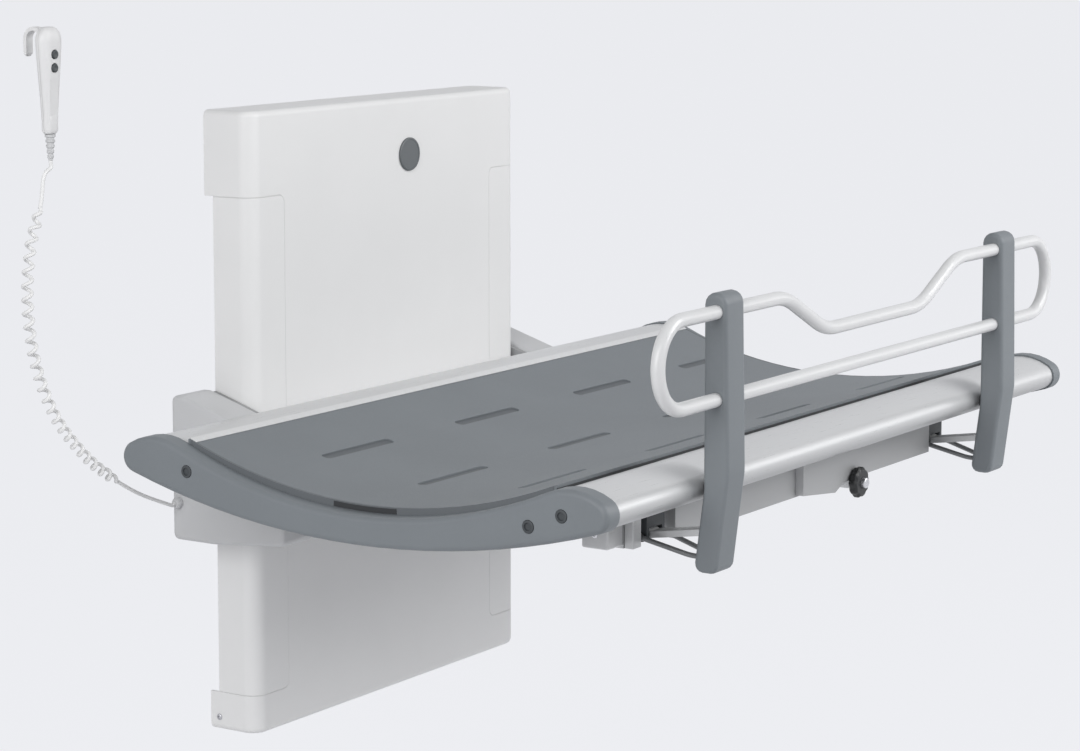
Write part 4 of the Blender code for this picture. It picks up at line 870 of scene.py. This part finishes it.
def guard_tube(looks):
    """One closed loop with round ends and a dip in its upper run."""
    corners = [(-TUBE_HALF, TUBE_LOWER, TUBE_END_BEND), (TUBE_HALF, TUBE_LOWER, TUBE_END_BEND),
               (TUBE_HALF, TUBE_UPPER, TUBE_END_BEND),
               (DIP_TOP_HALF, TUBE_UPPER, DIP_BEND), (DIP_BOTTOM_HALF, TUBE_DIP, DIP_BEND),
               (-DIP_BOTTOM_HALF, TUBE_DIP, DIP_BEND), (-DIP_TOP_HALF, TUBE_UPPER, DIP_BEND),
               (-TUBE_HALF, TUBE_UPPER, TUBE_END_BEND)]
    path = [(GUARD_X + x, GUARD_Y, z) for x, z in rounded_line(corners, steps=18)]
    tube = bar_as_mesh(line("guard_tube_finished", path, TUBE_RADIUS, roundness=8, closed=True))
    stands_for(tube, looks["white_tube"], "guard_tube")


def eased(corners, reach, steps):
    """Open path through corners, each inner one rounded over a short reach."""
    path = [corners[0]]
    for before, here, after in zip(corners, corners[1:], corners[2:]):
        first = here + (before - here).normalized() * reach
        last = here + (after - here).normalized() * reach
        for k in range(steps + 1):
            t = k / steps
            path.append(first * (1 - t) ** 2 + here * (2 * t * (1 - t)) + last * t ** 2)
    return path + [corners[-1]]


def bails(looks):
    """Bent wires from the posts round the pivots."""
    leg = [(BAIL_POST_HALF, BAIL_END, BAIL_POST_Z), (BAIL_POST_HALF, BAIL_KNEE, BAIL_POST_Z), (BAIL_HALF, *PIVOT)]
    for side, word in SIDES:
        x = GUARD_X + side * POST_HALF
        corners = [Vector((x - out, y, z)) for out, y, z in leg]
        corners += [Vector((x + out, y, z)) for out, y, z in reversed(leg)]
        path = eased(corners, BAIL_BEND, steps=6)
        bail = bar_as_mesh(line(word + "_bail_finished", path, BAIL_RADIUS, roundness=5))
        stands_for(bail, looks["bail"], word + "_bail")


def round_badge(looks):
    """Bare disc with a raised ring."""
    low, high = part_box("round_badge")
    radius = (high.x - low.x) / 2
    profile = [(high.y, radius)] + [(low.y + depth, radius - inset) for depth, inset in BADGE_RING]
    profile.append((low.y + BADGE_RING[-1][0], BADGE_CENTRE))
    piece = turned_piece("round_badge_finished", "Y", (low + high) / 2, profile, sides=64)
    smooth(piece)
    stands_for(piece, looks["badge"], "round_badge")


def cap_plugs(looks):
    """Three dished plugs on each end cap, the first one turned and the others copied."""
    for out, word in SIDES:
        first = None
        for number in (1, 2, 3):
            name = "%s_cap_plug_%d" % (word, number)
            low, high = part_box(name)
            middle = (low + high) / 2
            if first:
                piece = copy_of(first, name + "_finished", middle - origin)
            else:
                seat, face = (high.x, low.x) if out < 0 else (low.x, high.x)
                rim = face - out * PLUG_RISE
                radius = (high.y - low.y) / 2
                profile = [(seat, radius)] + [(rim + out * rise, radius * share) for rise, share in PLUG_FACE]
                piece = turned_piece(name + "_finished", "X", middle, profile, sides=36)
                smooth(piece)
                first, origin = piece, middle
            stands_for(piece, looks["dark_plastic"], name)


def cord_gland(looks):
    low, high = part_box("cord_gland")
    radius = (high.z - low.z) / 2
    profile = [(high.x - depth, radius * share) for depth, share in GLAND_STEPS]
    profile += [(low.x, radius * share) for share in GLAND_MOUTH]
    piece = turned_piece("cord_gland_finished", "X", (low + high) / 2, profile, sides=32)
    smooth(piece)
    stands_for(piece, looks["grey_arm"], "cord_gland")


def strain_relief(looks):
    """Ribbed sleeve that narrows towards the cord."""
    low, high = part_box("cord_strain_relief")
    pitch = (high.z - low.z) / RELIEF_RIBS
    profile = []
    for k in range(RELIEF_RIBS):
        radius = RELIEF_TOP_RADIUS + (RELIEF_FOOT_RADIUS - RELIEF_TOP_RADIUS) * k / (RELIEF_RIBS - 1)
        start = high.z - k * pitch
        profile += [(start - pitch * drop, radius * share) for drop, share in RELIEF_RIB]
    profile.append((low.z, profile[-1][1] * RELIEF_MOUTH))
    piece = turned_piece("cord_strain_relief_finished", "Z", (low + high) / 2, profile, sides=36)
    smooth(piece)
    stands_for(piece, looks["grey_arm"], "cord_strain_relief")


def faced_disc(looks, name, steps):
    """A handset button or the knob's cap, with its face turned in steps."""
    low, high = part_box(name)
    radius = (high.x - low.x) / 2
    profile = [(high.y, radius)] + [(low.y + depth, radius * share) for depth, share in steps]
    piece = turned_piece(name + "_finished", "Y", (low + high) / 2, profile, sides=40)
    smooth(piece)
    stands_for(piece, looks[SLOT_OF[name]], name)


def buttons_and_knob_cap(looks):
    for name in BUTTON_LEVELS:
        faced_disc(looks, name, BUTTON_FACE)
    faced_disc(looks, "knob_cap", KNOB_CAP_FACE)


def handset_size(z):
    """Width and depth of the handset, which tapers smoothly towards the cord."""
    share = (HANDSET_TOP - z) / (HANDSET_TOP - HANDSET_FOOT)
    ease = share * share * (3 - 2 * share)
    return [top + (foot - top) * ease for top, foot in zip(HANDSET_TOP_SIZE, HANDSET_FOOT_SIZE)]


def handset_face(z):
    """Where the handset's front lies at a height."""
    return HANDSET_SPLIT - handset_size(z)[1] / 2


def handset_levels():
    """Heights and scales of the handset's rings, from its foot to its round top."""
    dome = HANDSET_TOP_SIZE[0] / 2
    shoulder = HANDSET_FOOT_SIZE[0] / 4
    levels = [(HANDSET_FOOT + shoulder * rise, scale) for rise, scale in HANDSET_FOOT_RINGS]
    start, end = HANDSET_FOOT + shoulder, HANDSET_TOP - dome
    levels += [(start + (end - start) * k / HANDSET_RINGS, 1.0) for k in range(HANDSET_RINGS + 1)]
    turns = [math.radians(90.0 - HANDSET_DOME_STEP * k) for k in range(1, HANDSET_RINGS + 1)]
    return levels + [(HANDSET_TOP - dome * (1 - math.cos(t)), math.sin(t) ** HANDSET_DOME_ROUND) for t in turns]


def handset_shell(name, front):
    """One half of the handset, drawn up ring by ring from its foot and parted at the seam."""
    levels = handset_levels()
    z, scale = levels[0]
    width, depth = handset_size(z)
    piece = sheet(name, (HANDSET_X, HANDSET_SPLIT, z), (width * scale, depth * scale))
    edit_all()
    bpy.ops.mesh.bevel(offset=depth * scale * HANDSET_CORNER, segments=9, profile=0.5, affect="VERTICES")
    bpy.ops.mesh.select_all(action="SELECT")
    for (low, was), (high, now) in zip(levels, levels[1:]):
        draw_out((0.0, 0.0, high - low))
        grow = [b * now / (a * was) for a, b in zip(handset_size(low), handset_size(high))]
        bpy.ops.transform.resize(value=(*grow, 1.0), center_override=(HANDSET_X, HANDSET_SPLIT, high))
    face_out()
    seam = HANDSET_SPLIT if front else HANDSET_SPLIT + FIT_GAP
    bpy.ops.mesh.bisect(plane_co=(HANDSET_X, seam, 0.0), plane_no=(0.0, 1.0, 0.0), use_fill=True,
                        clear_outer=front, clear_inner=not front)
    leave_edit()
    round_edges(piece, HANDSET_EDGE, segments=2, degrees=60.0)
    return piece


def handset_shells(looks):
    """Front shell with two button wells and a bare sunken panel, and the plain back shell."""
    front = handset_shell("handset_front_finished", True)
    rim, bore = BUTTON_RADIUS + WELL_RIM, BUTTON_RADIUS + WELL_BORE
    for name, z in BUTTON_LEVELS.items():
        face = handset_face(z)
        steps = [(face - TOOL_REACH, rim), (face + WELL_STEP, rim), (face + WELL_STEP, bore),
                 (face + BUTTON_FLOOR, bore)]
        cut_away(front, turned_piece(name + "_well", "Y", (HANDSET_X, 0.0, z), steps, sides=40))
    low_face = handset_face(PANEL_LOW)
    lean = math.atan2(low_face - handset_face(PANEL_HIGH), PANEL_HIGH - PANEL_LOW)
    panel = block("handset_panel_tool", (HANDSET_X - PANEL_HALF_WIDTH, -TOOL_REACH, PANEL_LOW),
                  (HANDSET_X + PANEL_HALF_WIDTH, PANEL_DEPTH, PANEL_HIGH), 0.0)
    take(panel)
    edit_all()
    lean_by(lean, (HANDSET_X, 0.0, PANEL_LOW))
    bpy.ops.transform.translate(value=(0.0, low_face, 0.0))
    leave_edit()
    cut_away(front, panel)
    smooth(front, HANDSET_SMOOTH)
    stands_for(front, looks["handset_white"], "handset_front")
    back = handset_shell("handset_back_finished", False)
    smooth(back, HANDSET_SMOOTH)
    stands_for(back, looks["handset_white"], "handset_back")


def handset_hook(looks):
    """Flat hook behind the handset, bent over and round at its tip."""
    start = HOOK_FOOT + HOOK_ROOT_RISE
    bend_level = HOOK_CROWN - HOOK_BEND
    hook = sheet("handset_hook", (HANDSET_X, HOOK_ROOT + HOOK_THICKNESS / 2, start), (HOOK_WIDTH, HOOK_THICKNESS))
    edit_all()
    draw_out((0.0, 0.0, bend_level - start))
    bpy.ops.mesh.spin(steps=20, angle=math.pi, center=(HANDSET_X, HOOK_ROOT + HOOK_BEND, bend_level),
                      axis=(1, 0, 0))
    draw_out((0.0, 0.0, HOOK_FOOT - bend_level))
    face_out(MERGE_BENT)
    bpy.ops.mesh.select_all(action="DESELECT")
    leave_edit()
    for edge in hook.data.edges:
        ends = [hook.data.vertices[i].co for i in edge.vertices]
        at_tip = all(abs(p.z - HOOK_FOOT) < NEAR for p in ends)
        edge.select = at_tip and abs(ends[0].x - ends[1].x) < NEAR
    bpy.ops.object.mode_set(mode="EDIT")
    bpy.ops.mesh.select_mode(type="EDGE")
    bpy.ops.mesh.bevel(offset=HOOK_TIP_ROUND, segments=6, profile=0.5, affect="EDGES")
    bpy.ops.mesh.select_mode(type="VERT")
    leave_edit()
    round_edges(hook, HOOK_EDGE, segments=3)
    smooth(hook)
    rides_on(hook, looks["handset_white"], "handset_back")


def tray_height(y):
    """Height of the tray's upper side at a distance from its middle."""
    return TRAY_LOW + TRAY_RADIUS - math.sqrt(TRAY_RADIUS ** 2 - y ** 2)


def tray_groove_shades(looks):
    """Painted shade in the drain grooves: dark floors, one shape for each row and copies along it."""
    length, width = SLOT_LENGTH - GROOVE_PLAY, SLOT_WIDTH - GROOVE_PLAY
    for row, y in enumerate(SLOT_ROWS, 1):
        middle, height = BENCH_MID_Y + y, tray_height(y)
        floor = sheet("tray_groove_%d_1" % row, (SLOT_FIRST_X, middle, height - SLOT_DEPTH + LIFT), (length, width))
        edit_all()
        bpy.ops.mesh.bevel(offset=width / 2 * GROOVE_ROUND, segments=8, profile=0.5, affect="VERTICES")
        bpy.ops.mesh.select_all(action="SELECT")
        draw_out((0.0, 0.0, GROOVE_THICKNESS))
        bpy.ops.mesh.inset(thickness=GROOVE_RIM, depth=-GROOVE_DISH)
        face_out()
        lean_by(math.asin(y / TRAY_RADIUS), (SLOT_FIRST_X, middle, height))
        leave_edit()
        smooth(floor)
        rides_on(floor, looks["groove"], "tray")
        for column in range(1, SLOT_COLUMNS):
            shift = Vector((SLOT_PITCH_X * column, 0.0, 0.0))
            twin = copy_of(floor, "tray_groove_%d_%d" % (row, column + 1), shift)
            rides_on(twin, looks["groove"], "tray")


def drain_slit_shades(looks):
    """Painted shade: a thin dark sheet over the drain slit at each end, curved like the trough."""
    centre = Vector((0.0, BENCH_MID_Y, TROUGH_LOW + TROUGH_RADIUS))
    size = (SLIT_SHADE_WIDTH, TRAY_LOW - TROUGH_LOW - SLIT_SHADE_MARGIN)
    for side, word in SIDES:
        place = (side * (RAIL_END + SLIT_SHADE_OUT), BENCH_MID_Y, (TROUGH_LOW + TRAY_LOW) / 2 - SLIT_SHADE_DROP)
        slit_shade = sheet(word + "_drain_slit_shade", place, size, TURNS["Y"])
        edit_all()
        lean_by(DRAIN_HALF_ANGLE, centre)
        bpy.ops.mesh.spin(steps=16, angle=2 * DRAIN_HALF_ANGLE, center=centre, axis=(1, 0, 0))
        face_out(MERGE_BENT)
        leave_edit()
        round_edges(slit_shade, SLIT_SHADE_EDGE, segments=2)
        smooth(slit_shade)
        # painted shade: dark rubber finish where the slit's shade falls
        rides_on(slit_shade, looks["dark_rubber"], word + "_tray_edging")


def front_beam_fittings(looks):
    """End cover, web and cheek of the beam under the front rail, and the bead along the front seal."""
    cover = block("front_beam_end_cover", (BEAM_COVER_START, BEAM_STEP, BEAM_COVER_LOW),
                  (BEAM_END - FIT_GAP, BEAM_BACK, BEAM_TOP), BEAM_COVER_EDGE)
    rides_on(cover, looks["silver_rail"], "front_beam")
    web = block("front_beam_web", (BEAM_NOTCH + FIT_GAP, WEB_FRONT, WEB_LOW),
                (BEAM_LEFT - FIT_GAP, BEAM_BACK, WEB_HIGH), WEB_EDGE)
    # painted shade grey, as on the beam's front faces
    rides_on(web, looks["beam_painted_shade"], "front_beam")
    cheek = block("front_beam_cheek", (CHEEK_START, CHEEK_FRONT, BEAM_LOW),
                  (CHEEK_END, BEAM_STEP - FIT_GAP, CHEEK_TOP), CHEEK_EDGE)
    rides_on(cheek, looks["silver_rail"], "front_beam")
    bead = block("front_seal_bead", (-SEAL_BEAD_END, SEAL_BEAD_FRONT, SEAL_BEAD_LOW),
                 (SEAL_BEAD_END, SEAL_BEAD_BACK, SEAL_BEAD_HIGH), SEAL_BEAD_EDGE)
    rides_on(bead, looks["dark_rubber"], "front_tray_seal")


def screw(looks, name, place, out, radius, finish, carrier):
    """A domed screw head with a round socket, standing a little out of its face."""
    rise = out * radius * SCREW_RISE
    profile = [(place[0] + rise * share, radius * width) for share, width in SCREW_HEAD]
    piece = turned_piece(name, "X", place, profile, sides=28)
    smooth(piece)
    rides_on(piece, looks[finish], carrier)


def screws(looks):
    """The screws that show: one in the beam's end cover and one low on each side of the lift unit."""
    screw(looks, "front_beam_screw", BEAM_COVER_SCREW, -1, BEAM_COVER_SCREW_RADIUS, "bright_steel", "front_beam")
    for side, word in SIDES:
        place = (side * COVER_HALF, FOOT_SCREW_Y, FOOT_SCREW_Z)
        screw(looks, word + "_foot_screw", place, side, FOOT_SCREW_RADIUS, "plated_steel", "main_cover")


def wall_rail_highlight_strip(looks):
    """Painted highlight: a pale strip along the tray's edge at the wall rail, where a bright line of light falls on
    the rail's lip.
    """
    centre = Vector((0.0, BENCH_MID_Y + STRIP_MIDDLE, tray_height(STRIP_MIDDLE)))
    half = Vector((RAIL_END - STRIP_END_GAP, STRIP_WIDTH / 2, 0.0))
    strip = block("wall_rail_highlight_strip", centre - half + Vector((0.0, 0.0, LIFT)),
                  centre + half + Vector((0.0, 0.0, STRIP_THICKNESS)), STRIP_EDGE)
    take(strip)
    edit_all()
    lean_by(math.asin(STRIP_MIDDLE / TRAY_RADIUS), centre)
    leave_edit()
    # painted highlight: the pale tube finish on the strip
    rides_on(strip, looks["white_tube"], "wall_rail")


def column_beads(looks):
    """White beads that close the seams round the two column covers."""
    depth = COVER_FRONT + SEAM_HALF
    high, low = COLUMN_TOP - SEAM_HALF, COLUMN_BOTTOM + SEAM_HALF
    outer = [(COVER_HALF - SEAM_HALF, COLUMN_BACK)]
    outer += arc((COVER_HALF - COVER_CORNER, COVER_FRONT + COVER_CORNER), COVER_CORNER - SEAM_HALF,
                 0.0, -math.pi / 2, steps=8)
    inner = arc((COLUMN_EDGE + SEAM_HALF + COLUMN_CORNER, high - COLUMN_CORNER), COLUMN_CORNER,
                math.pi / 2, math.pi, steps=8)
    path = [(x, y, high) for x, y in outer] + [(x, depth, z) for x, z in inner]
    path += [(x, depth, high + low - z) for x, z in reversed(inner)] + [(x, y, low) for x, y in reversed(outer)]
    for side, word in SIDES:
        points = [Vector((side * x, y, z)) for x, y, z in path]
        bead = bar_as_mesh(line(word + "_column_bead", points, SEAM_BEAD_RADIUS, roundness=3))
        rides_on(bead, looks["white_moulding"], word + "_column_cover")


def arm_gap_shades(looks):
    """Painted shade: grey strips in the gap between each arm and its column, cut to the arm's slope."""
    for side, word in SIDES:
        near, far = sorted((side * (ARM_INNER - FIT_GAP), side * (COVER_HALF + GAP_SHADE_COLUMN_GAP)))
        gap_shade = block(word + "_arm_gap_shade", (near, GAP_SHADE_FRONT, GAP_SHADE_LOW), (far, GAP_SHADE_BACK, GAP_SHADE_TOP), 0.0)
        take(gap_shade)
        edit_all()
        bpy.ops.mesh.bisect(plane_co=(0.0, ARM_SHOULDER, GAP_SHADE_CUT), plane_no=(0.0, -ARM_SLOPE, 1.0),
                            use_fill=True, clear_outer=True)
        leave_edit()
        round_edges(gap_shade, GAP_SHADE_EDGE, segments=2, degrees=30.0)
        smooth(gap_shade)
        # painted shade: grey finish where the gap's shade falls
        rides_on(gap_shade, looks["arm_gap_shade_grey"], word + "_arm")


def plain_nodes(looks):
    """The drive and other nodes whose shape is right get their finish."""
    for name, solid in NODES.items():
        finish_all_over(solid, looks[SLOT_OF[name]])


def backdrop_or(tree, out_node, seen, lit):
    """Camera, mirror and glass rays see the backdrop; all other rays see the lit surface."""
    rays = node(tree, "LightPath")
    any_two = node(tree, "Math", operation="MAXIMUM")
    any_three = node(tree, "Math", operation="MAXIMUM")
    mix = node(tree, "MixShader")
    join(tree, rays, "Is Camera Ray", any_two, 0)
    join(tree, rays, "Is Glossy Ray", any_two, 1)
    join(tree, any_two, "Value", any_three, 0)
    join(tree, rays, "Is Transmission Ray", any_three, 1)
    join(tree, any_three, "Value", mix, 0)
    join(tree, lit, 0, mix, 1)
    join(tree, seen, 0, mix, 2)
    join(tree, mix, 0, out_node, "Surface")


def studio_world():
    world = bpy.data.worlds.new("studio")
    bpy.context.scene.world = world
    world.use_nodes = True
    tree = world.node_tree
    tree.nodes.clear()
    out = node(tree, "OutputWorld")
    seen = node(tree, "Background")
    seen.inputs["Color"].default_value = (*BACKDROP, 1.0)
    lit = node(tree, "Background")
    lit.inputs["Color"].default_value = (*AMBIENT_TINT, 1.0)
    lit.inputs["Strength"].default_value = AMBIENT
    backdrop_or(tree, out, seen, lit)


def pale_floor():
    """Floor in the backdrop's colour that still takes the bench's shadow."""
    floor = sheet("floor", (0.0, 0.0, FLOOR_Z), (2 * FLOOR_HALF, 2 * FLOOR_HALF))
    paint = bpy.data.materials.new("pale floor")
    paint.use_nodes = True
    tree = paint.node_tree
    tree.nodes.clear()
    out = node(tree, "OutputMaterial")
    lit = node(tree, "BsdfDiffuse")
    lit.inputs["Color"].default_value = (*FLOOR_PAINT, 1.0)
    glow = node(tree, "Emission")
    glow.inputs["Color"].default_value = (*BACKDROP, 1.0)
    glow.inputs["Strength"].default_value = FLOOR_GLOW
    seen = node(tree, "MixShader")
    seen.inputs[0].default_value = FLOOR_GLOW_SHARE
    join(tree, lit, 0, seen, 1)
    join(tree, glow, 0, seen, 2)
    backdrop_or(tree, out, seen, lit)
    floor.data.materials.append(paint)


def soft_lamps():
    for name, place, size, power in LAMPS:
        deselect()
        way = LAMP_TARGET - Vector(place)
        bpy.ops.object.light_add(type="AREA", location=place, rotation=way.to_track_quat("-Z", "Y").to_euler())
        lamp = bpy.context.object
        lamp.name = name
        lamp.data.shape = "SQUARE"
        lamp.data.size = size
        lamp.data.energy = power


camera_at_the_photograph()
LOOKS = finishes()
curly_cord(LOOKS)
rounded_pieces(LOOKS)
wall_plate(LOOKS)
guard_tube(LOOKS)
bails(LOOKS)
round_badge(LOOKS)
cap_plugs(LOOKS)
cord_gland(LOOKS)
strain_relief(LOOKS)
buttons_and_knob_cap(LOOKS)
handset_shells(LOOKS)
handset_hook(LOOKS)
tray_groove_shades(LOOKS)
drain_slit_shades(LOOKS)
front_beam_fittings(LOOKS)
screws(LOOKS)
wall_rail_highlight_strip(LOOKS)
column_beads(LOOKS)
arm_gap_shades(LOOKS)
plain_nodes(LOOKS)
studio_world()
pale_floor()
soft_lamps()
bpy.context.scene.view_settings.view_transform = "Standard"
